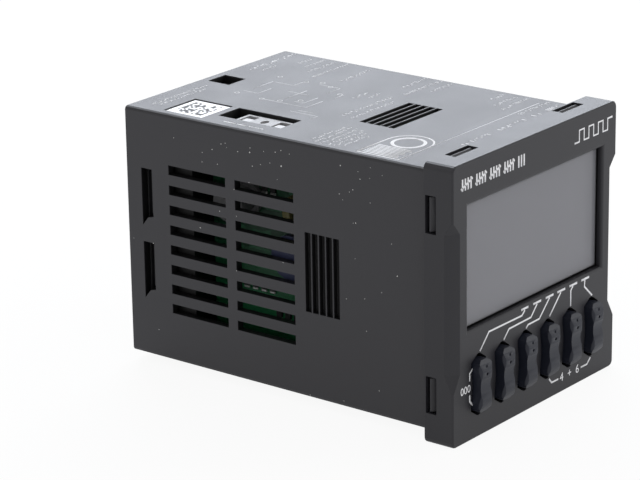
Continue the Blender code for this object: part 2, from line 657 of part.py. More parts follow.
# Display stack behind the bezel.
def display_stack():
    half = LENS_WIDTH / 2
    part("display_lens", box_mesh("display_lens", [
        ((-half, 0, -LENS_HEIGHT / 2), (half, LENS_THICK, LENS_HEIGHT / 2))]),
        LENS_PLASTIC, (0, LENS_SUNK, DISPLAY_Z))
    part("lcd_panel", box_mesh("lcd_panel", [
        ((-LCD_WIDTH / 2, 0, -LCD_HEIGHT / 2), (LCD_WIDTH / 2, LCD_THICK, LCD_HEIGHT / 2))]),
        LCD_GLASS, (0, LCD_Y, DISPLAY_Z))
    guide = part("light_guide", box_mesh("light_guide", [
        ((-LCD_WIDTH / 2, 0, -LCD_HEIGHT / 2), (LCD_WIDTH / 2, LIGHT_GUIDE_THICK, LCD_HEIGHT / 2))]),
        GUIDE_PLASTIC, (0, LIGHT_GUIDE_Y, DISPLAY_Z))
    lamps = []
    for i in range(4):
        x = LCD_WIDTH * (i - 1.5) / 4
        lamps.append(((x, LIGHT_GUIDE_THICK - 1 * MM, 0), (x, LIGHT_GUIDE_THICK + 1 * MM, 0),
                      LIGHT_GUIDE_DOT_R, LIGHT_GUIDE_DOT_R))
    cut(guide, "lamp_wells", rod_mesh("lamp_wells", lamps, 12), (0, LIGHT_GUIDE_Y, DISPLAY_Z))
    outer_x = LCD_FRAME_HALF_X
    outer_z = LCD_FRAME_HALF_Z
    inner_x = outer_x - LCD_FRAME_WALL
    inner_z = outer_z - LCD_FRAME_WALL
    place = (0, KEY_PANEL_THICK + SEAT_GAP, DISPLAY_Z)
    depth = SKIRT_END_Y - place[1]
    frame = part("lcd_frame", box_mesh("lcd_frame", [((-outer_x, 0, -outer_z), (outer_x, depth, outer_z))]),
                 FRAME_PLASTIC, place)
    cut(frame, "lcd_bay", box_mesh("lcd_bay", [
        ((-inner_x, -1 * MM, -inner_z), (inner_x, depth + 1 * MM, inner_z))]), place)


# Keys: six seesaws, each turning about a line across its middle.
def key_mesh():
    width = 4 * KEY_LOBE
    reach = KEY_FLANGE_Y + KEY_PROUD + 2 * MM
    blank = outline_mesh("key", key_outline(), reach, "Y")
    blank.transform(Matrix.Translation((0, KEY_FLANGE_Y + 1 * MM - reach / 2 - KEY_PIVOT_Y, 0)))
    key = part("key_master", blank, KEY_PLASTIC)
    keep_common(key, "key_wave", outline_mesh("key_wave", key_side_profile(), width, "X"))
    keep_common(key, "key_crown", outline_mesh("key_crown", key_crown(), 4 * KEY_HALF_HEIGHT, "Z"))
    flange_x = KEY_LOBE + KEY_SIDE_GAP + KEY_FLANGE_LIP
    flange_z = KEY_HALF_HEIGHT - KEY_FLANGE_LIP / 2
    y0 = KEY_FLANGE_Y - KEY_PIVOT_Y
    y1 = y0 + KEY_FLANGE_THICK
    add(key, "key_flange", box_mesh("key_flange", [((-flange_x, y0 - 0.05 * MM, -flange_z), (flange_x, y1, flange_z))]))
    add(key, "key_rib", box_mesh("key_rib", [
        ((-KEY_NECK, y1 - 0.3 * MM, -KEY_RIB_THICK / 2), (KEY_NECK, 0, KEY_RIB_THICK / 2))]))
    plungers = [((0, y1 - 0.3 * MM, side * KEY_PLUNGER_OFFSET), (0, y1 + KEY_PLUNGER_LENGTH, side * KEY_PLUNGER_OFFSET),
                 KEY_PLUNGER_R, KEY_PLUNGER_R * 0.85) for side in (-1, 1)]
    add(key, "key_plungers", rod_mesh("key_plungers", plungers, 12))
    top = -KEY_PIVOT_Y - KEY_PROUD
    pits = []
    for side in (-1, 1):
        z = KEY_HALF_HEIGHT * 0.6 + side * KEY_PIT_SPACING / 2
        pits.append(((0, top - 1 * MM, z), (0, top + KEY_PIT_DEPTH, z), KEY_PIT_R, KEY_PIT_R))
    cut(key, "key_pits", rod_mesh("key_pits", pits, 8))
    mesh = finished_mesh(key, "key")
    smooth(mesh, 30)
    return mesh


def keys():
    mesh = key_mesh()
    for i, x in enumerate(key_places(), 1):
        part("key_%d" % i, mesh, KEY_PLASTIC, (x, KEY_PIVOT_Y, KEY_ROW_Z))


def key_mat():
    """A rubber sheet with two domes and one ridge below every key."""
    half_x = KEY_PITCH * (KEY_COUNT - 1) / 2 + KEY_LOBE + MAT_MARGIN
    low = CENTRE_Z - BLOCK_HALF + SKIRT_THICK + SEAT_GAP
    high = DISPLAY_Z - LCD_FRAME_HALF_Z - SEAT_GAP
    mat = part("key_mat", box_mesh("key_mat", [
        ((-half_x, MAT_Y, low), (half_x, MAT_Y + MAT_THICK, high))]), MAT_RUBBER)
    dome_y = KEY_FLANGE_Y + KEY_FLANGE_THICK + KEY_PLUNGER_LENGTH + SEAT_GAP + 0.05 * MM
    ridge_y = KEY_PIVOT_Y + SEAT_GAP
    domes = []
    ridges = []
    for x in key_places():
        for side in (-1, 1):
            z = KEY_ROW_Z + side * KEY_PLUNGER_OFFSET
            domes.append(((x, MAT_Y + MAT_THICK / 2, z), (x, dome_y, z), MAT_DOME_R, MAT_DOME_TOP_R))
        ridges.append(((x - KEY_NECK, ridge_y, KEY_ROW_Z - MAT_RIDGE_THICK / 2),
                       (x + KEY_NECK, MAT_Y + MAT_THICK / 2, KEY_ROW_Z + MAT_RIDGE_THICK / 2)))
    add(mat, "mat_domes", rod_mesh("mat_domes", domes, 10))
    add(mat, "mat_ridges", box_mesh("mat_ridges", ridges))


# Circuit boards.
def boards():
    half = CASE_INNER - FRONT_BOARD_SIDE_GAP
    part("front_board", box_mesh("front_board", [
        ((-half, FRONT_BOARD_Y, BOARD_BOTTOM_Z), (half, FRONT_BOARD_Y + BOARD_THICK, BOARD_TOP_Z))]), BOARD_LAMINATE)
    low = BOARD_BOTTOM_Z
    high = BOARD_TOP_Z
    tail_low = CENTRE_Z - BOARD_TAIL_HALF
    tail_high = CENTRE_Z + BOARD_TAIL_HALF
    outline = [(BOARDS_FRONT_Y, low), (BOARDS_REAR_Y, low), (BOARDS_REAR_Y, tail_low), (BOARD_TAIL_Y, tail_low),
               (BOARD_TAIL_Y, tail_high), (BOARDS_REAR_Y, tail_high), (BOARDS_REAR_Y, high), (BOARDS_FRONT_Y, high)]
    for name, x in (("main_board", MAIN_BOARD_X), ("power_board", POWER_BOARD_X)):
        part(name, outline_mesh(name, outline, BOARD_THICK, "X"), BOARD_LAMINATE, (x, 0, 0))
    low = CENTRE_Z - CONNECTOR_HEIGHT / 2
    high = CENTRE_Z + CONNECTOR_HEIGHT / 2
    y1 = BOARDS_FRONT_Y + CONNECTOR_LENGTH
    right = POWER_BOARD_X + BOARD_THICK / 2 + SEAT_GAP
    part("main_board_connector", box_mesh("main_board_connector", [
        ((MAIN_FACE_X - CONNECTOR_WIDTH, BOARDS_FRONT_Y, low), (MAIN_FACE_X, y1, high))]), CONNECTOR_PLASTIC)
    part("power_board_connector", box_mesh("power_board_connector", [
        ((right, BOARDS_FRONT_Y, low), (right + CONNECTOR_WIDTH, y1, high))]), CONNECTOR_PLASTIC)


def transformer():
    """A laminated core with two windows, and the wound bobbin on its middle leg."""
    half_leg = CORE_LEG / 2
    window_z = CORE_HEIGHT / 2 - CORE_YOKE
    bobbin_x = (BOARD_ROOM - CORE_AIR) / 2
    half_stack = bobbin_x - SEAT_GAP - BOBBIN_WALL
    place = (POWER_FACE_X - bobbin_x, BLOCK_FRONT_Y - CORE_FROM_BLOCK - CORE_LENGTH / 2,
             BOARD_BOTTOM_Z + CORE_LIFT + CORE_HEIGHT / 2)
    core = part("transformer_core", box_mesh("transformer_core", [
        ((-half_stack, -CORE_LENGTH / 2, -CORE_HEIGHT / 2), (half_stack, CORE_LENGTH / 2, CORE_HEIGHT / 2))]),
        CORE_STEEL, place)
    deep = 2 * half_stack
    windows = [((-deep, half_leg, -window_z), (deep, half_leg + CORE_WINDOW, window_z)),
               ((-deep, -half_leg - CORE_WINDOW, -window_z), (deep, -half_leg, window_z))]
    cut(core, "core_windows", box_mesh("core_windows", windows), place)
    reach_y = half_leg + CORE_WINDOW - SEAT_GAP
    coil_z = window_z - SEAT_GAP
    bobbin = part("transformer_bobbin", box_mesh("transformer_bobbin", [
        ((-bobbin_x, -reach_y, -coil_z), (bobbin_x, reach_y, coil_z))]), BOBBIN_TAPE, place)
    cut(bobbin, "bobbin_bore", box_mesh("bobbin_bore", [
        ((-half_stack - SEAT_GAP, -half_leg - SEAT_GAP, -CORE_HEIGHT),
         (half_stack + SEAT_GAP, half_leg + SEAT_GAP, CORE_HEIGHT))]), place)


def relay():
    """Stands on the power board above the transformer."""
    half = ((BOARD_ROOM - RELAY_AIR) / 2, RELAY_LENGTH / 2, RELAY_HEIGHT / 2)
    mesh = box_mesh("relay", [((-half[0], -half[1], -half[2]), half)])
    bevel_edges(mesh, lambda e: all(v.co.x < 0 for v in e.verts), RELAY_EDGE_R, 2)
    part("relay", mesh, RELAY_PLASTIC, (
        POWER_FACE_X - half[0], BLOCK_FRONT_Y - RELAY_FROM_BLOCK - half[1],
        BOARD_BOTTOM_Z + CORE_LIFT + CORE_HEIGHT + PART_GAP + half[2]))


def turned_part(name, profile, mat, place):
    """A body turned about X. The profile is depth from its outer end, then radius."""
    curve = bpy.data.meshes.new(name)
    shape = bmesh.new()
    spots = [shape.verts.new((0, 0, 0))]
    spots += [shape.verts.new((r, 0, -h)) for h, r in profile]
    spots.append(shape.verts.new((0, 0, -profile[-1][0])))
    for first, second in zip(spots, spots[1:]):
        shape.edges.new((first, second))
    shape.to_mesh(curve)
    shape.free()
    body = part(name + "_master", curve, None)
    turn = body.modifiers.new("turn", "SCREW")
    turn.axis = "Z"
    turn.steps = 20
    turn.render_steps = 20
    turn.use_merge_vertices = True
    turn.merge_threshold = 0.01 * MM
    mesh = finished_mesh(body, name)
    mesh.transform(Matrix.Rotation(math.radians(-90), 4, "Y"))
    smooth(mesh)
    part(name, mesh, mat, place)


def capacitor(name, radius, length, place):
    """A sleeved can with the rolled groove near its base."""
    neck = radius - CAP_GROOVE
    profile = [(0, radius), (0.72 * length, radius), (0.78 * length, neck), (0.82 * length, neck),
               (0.88 * length, radius), (length, radius)]
    turned_part(name, profile, CAP_SLEEVE, place)


def choke():
    """A drum of ferrite with a flange at each end."""
    end = CHOKE_LENGTH - CHOKE_FLANGE
    profile = [(0, CHOKE_R), (CHOKE_FLANGE, CHOKE_R), (CHOKE_FLANGE, CHOKE_WAIST_R),
               (end, CHOKE_WAIST_R), (end, CHOKE_R), (CHOKE_LENGTH, CHOKE_R)]
    turned_part("choke", profile, FERRITE, (
        MAIN_FACE_X - CHOKE_LENGTH, BLOCK_FRONT_Y - CHOKE_FROM_BLOCK, BOARD_TOP_Z - CHOKE_DROP))


def noise_capacitor():
    """A ceramic disc that stands on edge on the main board."""
    half = DISC_THICK / 2
    rim = 0.8 * DISC_R
    mesh = rod_mesh("noise_capacitor", [((0, -half, 0), (0, half, 0), DISC_R, DISC_R)], 20)
    bevel_edges(mesh, lambda e: not runs_along_y(e), DISC_R - rim, 2)
    smooth(mesh, 50)
    part("noise_capacitor", mesh, CERAMIC_COATING, (
        MAIN_FACE_X - DISC_R, BLOCK_FRONT_Y - DISC_FROM_BLOCK, BOARD_TOP_Z - DISC_DROP))


def small_parts():
    relay()
    big_length = BOARD_ROOM - BIG_CAP_AIR
    capacitor("supply_capacitor", BIG_CAP_R, big_length, (
        POWER_FACE_X - big_length, BOARDS_FRONT_Y + BIG_CAP_FROM_FRONT + BIG_CAP_R,
        BOARD_BOTTOM_Z + BIG_CAP_LIFT + BIG_CAP_R))
    small_length = MAIN_FACE_X + CASE_INNER - SMALL_CAP_AIR
    capacitor("filter_capacitor", SMALL_CAP_R, small_length, (
        MAIN_FACE_X - small_length, BLOCK_FRONT_Y - SMALL_CAP_FROM_BLOCK, BOARD_TOP_Z - SMALL_CAP_DROP))
    noise_capacitor()
    choke()
    half = CHIP_SIZE / 2
    part("controller_chip", box_mesh("controller_chip", [((-CHIP_THICK, -half, -half), (0, half, half))]),
         CHIP_PLASTIC, (MAIN_FACE_X, BOARDS_FRONT_Y + CONNECTOR_LENGTH + CHIP_FROM_CONNECTOR + half,
                        BOARD_BOTTOM_Z + CHIP_LIFT + half))


# Setting switch under the top window: a body with two sliders and a dimple between them.
def slider_places():
    first = SWITCH_BODY_Y - SLIDER_PITCH * (SLIDER_COUNT - 1) / 2
    return [first + SLIDER_PITCH * i for i in range(SLIDER_COUNT)]


def setting_switch():
    half_x = SWITCH_BODY_WIDTH / 2
    half_y = SWITCH_BODY_LENGTH / 2
    body = part("switch_body", box_mesh("switch_body", [
        ((-half_x, -half_y, -SWITCH_BODY_HEIGHT), (half_x, half_y, 0))]),
        SWITCH_PLASTIC, (SWITCH_BODY_X, SWITCH_BODY_Y, SWITCH_TOP_Z))
    reach = (SLIDER_LENGTH + SLIDER_TRAVEL) / 2 + FINE_GAP
    half_slot = SLIDER_WIDTH / 2 + FINE_GAP
    floor = SWITCH_TOP_Z - SLIDER_SUNK - SLIDER_HEIGHT - FINE_GAP
    slots = [((SWITCH_BODY_X - reach, y - half_slot, floor), (SWITCH_BODY_X + reach, y + half_slot, SWITCH_TOP_Z + 1 * MM))
             for y in slider_places()]
    cut(body, "slider_slots", box_mesh("slider_slots", slots))
    dimple = rod_mesh("dimple", [((0, 0, -SWITCH_DIMPLE_DEPTH), (0, 0, 1 * MM), 0.5, 0.5)], 16)
    dimple.transform(Matrix.Diagonal((SWITCH_DIMPLE_LENGTH, SWITCH_DIMPLE_WIDTH, 1, 1)))
    cut(body, "dimple", dimple, (SWITCH_BODY_X, SWITCH_BODY_Y, SWITCH_TOP_Z))
    mesh = box_mesh("slider", [((-SLIDER_LENGTH / 2, -SLIDER_WIDTH / 2, -SLIDER_HEIGHT),
                                (SLIDER_LENGTH / 2, SLIDER_WIDTH / 2, 0))])
    for i, y in enumerate(slider_places(), 1):
        part("switch_slider_%d" % i, mesh, SLIDER_PLASTIC,
             (SWITCH_BODY_X - SLIDER_TRAVEL / 2, y, SWITCH_TOP_Z - SLIDER_SUNK))


# Case: a square tube, open at both ends.
def vent_boxes():
    boxes = []
    for row in range(VENT_ROWS):
        high = VENT_TOP_Z - row * VENT_PITCH
        for column in range(2):
            y1 = VENT_REAR_Y - column * (VENT_LENGTH + VENT_BRIDGE)
            for side in (-1, 1):
                x0, x1 = sorted((side * (CASE_INNER - 0.5 * MM), side * (CASE_HALF + 1 * MM)))
                boxes.append(((x0, y1 - VENT_LENGTH, high - VENT_HEIGHT), (x1, y1, high)))
    return boxes


def rack_boxes():
    rows = []
    for i in range(RACK_TEETH):
        y1 = RACK_REAR_Y - i * RACK_PITCH
        rows.append(((-RACK_LENGTH / 2, y1 - RACK_SLOT, CASE_HALF - RACK_DEPTH),
                     (RACK_LENGTH / 2, y1, CASE_HALF + 1 * MM)))
    return all_round(rows)


def side_window_boxes(inner, outer):
    boxes = []
    for side in (-1, 1):
        x0, x1 = sorted((side * inner, side * outer))
        for up in (-1, 1):
            z0, z1 = sorted((CENTRE_Z + up * SIDE_WINDOW_INNER,
                             CENTRE_Z + up * (SIDE_WINDOW_INNER + SIDE_WINDOW_HEIGHT)))
            boxes.append(((x0, SIDE_WINDOW_Y, z0), (x1, SIDE_WINDOW_Y + SIDE_WINDOW_LENGTH, z1)))
    return boxes


def side_window_outlines():
    """The windows in the case wall, as depth and height: boxes whose lower edge slants up to the front."""
    y0 = SIDE_WINDOW_Y
    y1 = y0 + SIDE_WINDOW_LENGTH
    outlines = []
    for low in (CENTRE_Z - SIDE_WINDOW_INNER - SIDE_WINDOW_HEIGHT, CENTRE_Z + SIDE_WINDOW_INNER):
        high = low + SIDE_WINDOW_HEIGHT
        outlines.append([(y1, low), (y1, high), (y0, high), (y0, low + SIDE_WINDOW_SLANT),
                         ((y0 + y1) / 2, low + 0.85 * SIDE_WINDOW_SLANT)])
    return outlines


def top_window_boxes(inner, outer):
    half = TOP_WINDOW_SIZE / 2
    boxes = []
    for up in (-1, 1):
        z0, z1 = sorted((CENTRE_Z + up * inner, CENTRE_Z + up * outer))
        boxes.append(((TOP_WINDOW_X - half, TOP_WINDOW_Y, z0), (TOP_WINDOW_X + half, TOP_WINDOW_Y + TOP_WINDOW_SIZE, z1)))
    return boxes


def guide_rails():
    boxes = []
    for board_x in (MAIN_BOARD_X, POWER_BOARD_X):
        for side in (-1, 1):
            near = board_x + side * (BOARD_THICK / 2 + SEAT_GAP)
            x0, x1 = sorted((near, near + side * RAIL_THICK))
            for up in (-1, 1):
                z0, z1 = sorted((CENTRE_Z + up * (CASE_INNER - RAIL_HEIGHT), CENTRE_Z + up * (CASE_INNER + CASE_WALL / 2)))
                boxes.append(((x0, BOARDS_FRONT_Y, z0), (x1, BLOCK_FRONT_Y - SEAT_GAP, z1)))
    return boxes


def case_tongues():
    half = LATCH_NOTCH_WIDTH / 2 - SEAT_GAP
    y0 = BEZEL_THICK - LATCH_NOTCH_DEPTH + SEAT_GAP
    spots = [((side * LATCH_OFFSET - half, y0, CASE_INNER + LATCH_TONGUE_INSET),
              (side * LATCH_OFFSET + half, CASE_FRONT_Y + 1 * MM, CASE_HALF - LATCH_TONGUE_INSET)) for side in (-1, 1)]
    return all_round(spots)


def case_hooks():
    """A wedge on every tongue that stands up behind the bezel's bridge."""
    half = LATCH_NOTCH_WIDTH / 2 - SEAT_GAP
    y0 = BEZEL_THICK - LATCH_NOTCH_DEPTH + SEAT_GAP
    y1 = BEZEL_THICK - LATCH_BRIDGE - LATCH_HOOK_GAP
    reach = BEZEL_HALF - LATCH_HOOK_INSET
    spots = [((side * LATCH_OFFSET - half, y0, CASE_HALF - 2 * LATCH_TONGUE_INSET),
              (side * LATCH_OFFSET + half, y1, reach)) for side in (-1, 1)]
    mesh = box_mesh("case_hooks", all_round(spots))

    def leads_in(edge):
        return all(v.co.y < y0 + 0.01 * MM and max(abs(v.co.x), abs(v.co.z - CENTRE_Z)) > reach - 0.01 * MM
                   for v in edge.verts)

    bevel_edges(mesh, leads_in, LATCH_HOOK_SLOPE, 1)
    return mesh


def case_body():
    mesh = box_mesh("case_body", [
        ((-CASE_HALF, CASE_FRONT_Y, CENTRE_Z - CASE_HALF), (CASE_HALF, OVERALL_REAR, CASE_TOP_Z))])
    bevel_edges(mesh, runs_along_y, CASE_CORNER_R, 2)
    case = part("case_body", mesh, CASE_PLASTIC)
    cut(case, "case_hollow", box_mesh("case_hollow", [
        ((-CASE_INNER, CASE_FRONT_Y - 1 * MM, CENTRE_Z - CASE_INNER),
         (CASE_INNER, OVERALL_REAR + 1 * MM, CENTRE_Z + CASE_INNER))]))
    add(case, "guide_rails", box_mesh("guide_rails", guide_rails()))
    add(case, "case_tongues", box_mesh("case_tongues", case_tongues()))
    add(case, "case_hooks", case_hooks())
    cut(case, "vents", box_mesh("vents", vent_boxes()))
    cut(case, "racks", box_mesh("racks", rack_boxes()))
    for side in (-1, 1):
        for i, outline in enumerate(side_window_outlines(), 1):
            name = "side_window_%s_%d" % ("left" if side < 0 else "right", i)
            cut(case, name, outline_mesh(name, outline, CASE_WALL + 2 * MM, "X"), (side * (CASE_HALF - CASE_WALL / 2), 0, 0))
    cut(case, "top_windows", box_mesh("top_windows", top_window_boxes(CASE_INNER - 1 * MM, CASE_HALF + 1 * MM)))
    right = SWITCH_WINDOW_LEFT + SWITCH_WINDOW_WIDTH
    rear = SWITCH_WINDOW_Y + SWITCH_WINDOW_LENGTH
    above = CASE_TOP_Z + 1 * MM
    cut(case, "switch_window", box_mesh("switch_window", [
        ((SWITCH_WINDOW_LEFT, SWITCH_WINDOW_Y, CASE_TOP_Z - CASE_WALL - RAIL_HEIGHT - 0.5 * MM), (right, rear, above))]))
    half = LABEL_SIZE / 2
    cut(case, "label_recess", box_mesh("label_recess", [
        ((LABEL_X - half, LABEL_Y - half, CASE_TOP_Z - LABEL_RECESS), (LABEL_X + half, LABEL_Y + half, above))]))
    return case


# Terminal block at the rear.
def terminal_places():
    """Number, x, screw height, bay bottom and bay top of every terminal, lower row first."""
    first = -TERMINAL_PITCH * (TERMINALS_PER_ROW - 1) / 2
    places = []
    for up in (-1, 1):
        near = CENTRE_Z + up * BAY_INNER
        far = near + up * BAY_HEIGHT
        screw_z = near + up * SCREW_FROM_BAY_END
        for i in range(TERMINALS_PER_ROW):
            places.append((len(places) + 1, first + TERMINAL_PITCH * i, screw_z, min(near, far), max(near, far)))
    return places


def terminal_block():
    block = part("terminal_block", box_mesh("terminal_block", [
        ((-BLOCK_HALF, BLOCK_FRONT_Y, CENTRE_Z - BLOCK_HALF), (BLOCK_HALF, BLOCK_REAR_Y, CENTRE_Z + BLOCK_HALF))]),
        BLOCK_PLASTIC)
    inner = BLOCK_HALF - BLOCK_WALL
    cut(block, "block_hollow", box_mesh("block_hollow", [
        ((-inner, BLOCK_FRONT_Y - 1 * MM, CENTRE_Z - inner), (inner, BLOCK_FRONT_Y + BLOCK_CAVITY_DEPTH, CENTRE_Z + inner))]))
    half = BAY_WIDTH / 2
    cut(block, "bays", box_mesh("bays", [
        ((x - half, BAY_FLOOR_Y, low), (x + half, BLOCK_REAR_Y + 1 * MM, high))
        for number, x, screw_z, low, high in terminal_places()]))
    shank_room = SCREW_SHANK_LENGTH - PLATE_THICK
    cut(block, "screw_holes", rod_mesh("screw_holes", [
        ((x, BAY_FLOOR_Y - shank_room, screw_z), (x, BAY_FLOOR_Y + 1 * MM, screw_z),
         SCREW_SHANK_R + SEAT_GAP, SCREW_SHANK_R + SEAT_GAP)
        for number, x, screw_z, low, high in terminal_places()], 12))
    cut(block, "side_pockets", box_mesh("side_pockets", side_window_boxes(BLOCK_HALF - WINDOW_POCKET_DEPTH,
                                                                         BLOCK_HALF + 1 * MM)))
    cut(block, "top_pockets", box_mesh("top_pockets", top_window_boxes(BLOCK_HALF - TOP_POCKET_DEPTH,
                                                                      BLOCK_HALF + 1 * MM)))
    hooks = []
    for side in (-1, 1):
        x0, x1 = sorted((side * (BLOCK_HALF - WINDOW_POCKET_DEPTH - 0.2 * MM), side * (BLOCK_HALF + HOOK_REACH)))
        for up in (-1, 1):
            z0, z1 = sorted((CENTRE_Z + up * (SIDE_WINDOW_INNER + SEAT_GAP),
                             CENTRE_Z + up * (SIDE_WINDOW_INNER + SIDE_WINDOW_HEIGHT - SEAT_GAP)))
            y0 = SIDE_WINDOW_Y + SEAT_GAP
            hooks.append(((x0, y0, z0 + SIDE_WINDOW_SLANT), (x1, y0 + HOOK_LENGTH, z1)))
    add(block, "block_hooks", box_mesh("block_hooks", hooks))


def screw_mesh():
    """Slotted pan head with a plain shank, head towards the rear, seat at the origin."""
    head = SCREW_HEAD_HEIGHT
    screw = part("screw_master", rod_mesh("screw", [
        ((0, 0, 0), (0, head * 0.75, 0), SCREW_HEAD_R, SCREW_HEAD_R)], 16), PLATED_STEEL)
    add(screw, "screw_crown", rod_mesh("screw_crown", [
        ((0, head * 0.7, 0), (0, head, 0), SCREW_HEAD_R * 0.97, SCREW_HEAD_R * 0.75)], 16))
    add(screw, "screw_shank", rod_mesh("screw_shank", [
        ((0, -SCREW_SHANK_LENGTH, 0), (0, head * 0.3, 0), SCREW_SHANK_R * 0.8, SCREW_SHANK_R)], 12))
    half = SCREW_SLOT_WIDTH / 2
    cut(screw, "screw_slot", box_mesh("screw_slot", [
        ((-half, head - SCREW_SLOT_DEPTH, -2 * SCREW_HEAD_R), (half, head + 1 * MM, 2 * SCREW_HEAD_R))]))
    mesh = finished_mesh(screw, "terminal_screw")
    smooth(mesh)
    return mesh


def plate_mesh(screw_above):
    """Contact plate on the bay's floor, with the hole for its screw nearer one end."""
    half_x = BAY_WIDTH / 2 - SEAT_GAP
    low = -SCREW_FROM_BAY_END + SEAT_GAP
    high = BAY_HEIGHT - SCREW_FROM_BAY_END - SEAT_GAP
    if screw_above:
        low, high = -high, -low
    plate = part("plate_master", box_mesh("plate", [((-half_x, 0, low), (half_x, PLATE_THICK, high))]), PLATED_STEEL)
    cut(plate, "plate_hole", rod_mesh("plate_hole", [
        ((0, -1 * MM, 0), (0, PLATE_THICK + 1 * MM, 0), SCREW_SHANK_R + SEAT_GAP, SCREW_SHANK_R + SEAT_GAP)], 12))
    return finished_mesh(plate, "terminal_plate")


def terminals():
    screw = screw_mesh()
    lower_plate = plate_mesh(True)
    upper_plate = plate_mesh(False)
    plate_y = BAY_FLOOR_Y + SEAT_GAP
    for number, x, screw_z, low, high in terminal_places():
        plate = lower_plate if screw_z < CENTRE_Z else upper_plate
        part("terminal_plate_%d" % number, plate, PLATED_STEEL, (x, plate_y, screw_z))
        part("terminal_screw_%d" % number, screw, PLATED_STEEL, (x, plate_y + PLATE_THICK + SEAT_GAP, screw_z))


front_bezel()
display_stack()
keys()
key_mat()
boards()
transformer()
small_parts()
setting_switch()
case_body()
terminal_block()
terminals()
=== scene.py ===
import math
import random

import bmesh
import bpy
from mathutils import Matrix, Vector


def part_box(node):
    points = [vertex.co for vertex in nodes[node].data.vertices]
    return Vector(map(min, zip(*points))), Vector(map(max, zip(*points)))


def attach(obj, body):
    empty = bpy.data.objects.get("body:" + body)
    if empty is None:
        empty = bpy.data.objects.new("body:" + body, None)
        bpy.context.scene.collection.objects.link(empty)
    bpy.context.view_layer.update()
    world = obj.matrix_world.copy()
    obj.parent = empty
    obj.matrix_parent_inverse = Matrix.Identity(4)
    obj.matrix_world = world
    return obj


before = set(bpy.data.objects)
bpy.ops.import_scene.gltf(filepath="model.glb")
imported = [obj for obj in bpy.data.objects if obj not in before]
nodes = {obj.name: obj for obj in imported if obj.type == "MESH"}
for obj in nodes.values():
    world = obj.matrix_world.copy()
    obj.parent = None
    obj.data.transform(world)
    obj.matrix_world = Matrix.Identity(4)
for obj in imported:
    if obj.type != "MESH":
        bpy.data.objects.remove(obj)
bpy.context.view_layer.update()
MM = 0.001

# Front bezel: one moulding in dark grey glass-filled plastic with a fine satin grain.
# Its edges are eased by the mould, and it snaps onto the front edge of the case.


class Value:
    """A number on its way through a finish. Sums on it add the finish's own Math nodes."""

    def __init__(self, finish, socket):
        self.finish = finish
        self.socket = socket

    def sum(self, operation, first, second):
        return self.finish.node("ShaderNodeMath", {"operation": operation}, {0: first, 1: second})

    def clamped(self):
        return self.finish.node("ShaderNodeMath", {"operation": "ADD", "use_clamp": True}, {0: self, 1: 0.0})

    def distance(self, middle):
        return self.finish.node("ShaderNodeMath", {"operation": "ABSOLUTE"}, {0: self - middle})

    def __add__(self, other):
        return self.sum("ADD", self, other)

    def __sub__(self, other):
        return self.sum("SUBTRACT", self, other)

    def __rsub__(self, other):
        return self.sum("SUBTRACT", other, self)

    def __mul__(self, other):
        return self.sum("MULTIPLY", self, other)

    def __gt__(self, other):
        return self.sum("GREATER_THAN", self, other)

    def __lt__(self, other):
        return self.sum("LESS_THAN", self, other)

    __radd__ = __add__
    __rmul__ = __mul__


class Finish:
    """A procedural finish on one shader, patterned in metres over the object's own coordinates."""

    def __init__(self, name, **settings):
        self.material = bpy.data.materials.new(name)
        self.material.use_nodes = True
        self.tree = self.material.node_tree
        self.shader = self.tree.nodes["Principled BSDF"]
        for socket, value in settings.items():
            self.feed(socket.replace("_", " "), value)

    def feed(self, socket, value, node=None):
        target = (node or self.shader).inputs[socket]
        if isinstance(value, Value):
            self.tree.links.new(value.socket, target)
        elif target.type == "RGBA" and len(value) == 3:
            target.default_value = (*value, 1)
        else:
            target.default_value = value

    def node(self, kind, settings=None, inputs=None, output=0):
        made = self.tree.nodes.new(kind)
        for key, value in (settings or {}).items():
            setattr(made, key, value)
        for key, value in (inputs or {}).items():
            self.feed(key, value, made)
        return Value(self, made.outputs[output])

    def place(self):
        return self.node("ShaderNodeTexCoord", output="Object")

    def axes(self):
        where = self.tree.nodes.new("ShaderNodeSeparateXYZ")
        self.feed("Vector", self.place(), where)
        return [Value(self, socket) for socket in where.outputs]

    def noise(self, size, detail=2.0, place=None):
        """Cloudy noise whose blots are about this wide, in metres."""
        return self.node("ShaderNodeTexNoise", None, {
            "Vector": place or self.place(), "Scale": 1 / size, "Detail": detail, "Roughness": 0.55})

    def between(self, low, high, share):
        """A colour that runs from low to high as the share runs from 0 to 1."""
        mixer = self.tree.nodes.new("ShaderNodeMix")
        mixer.data_type = "RGBA"
        self.feed(0, share, mixer)
        self.feed(6, low, mixer)
        self.feed(7, high, mixer)
        return Value(self, mixer.outputs[2])

    def relief(self, height, depth, strength=1.0):
        self.feed("Normal", self.node("ShaderNodeBump", None, {
            "Height": height, "Distance": depth, "Strength": strength}))


def shade(colour, factor):
    return tuple(channel * factor for channel in colour)


def hollow(finish, half, near, far, fade=0.3 * MM):
    """How far a point lies inside a square skin, from 0 at the skin to 1, between two depths: the mask for
    painted shade.
    """
    across, deep, up = finish.axes()
    reach = across.sum("MAXIMUM", across.distance(0.0), up.distance(MIDDLE_Z))
    inside = ((half - reach) * (1 / fade)).clamped()
    return inside * (deep > near) * (deep < far)


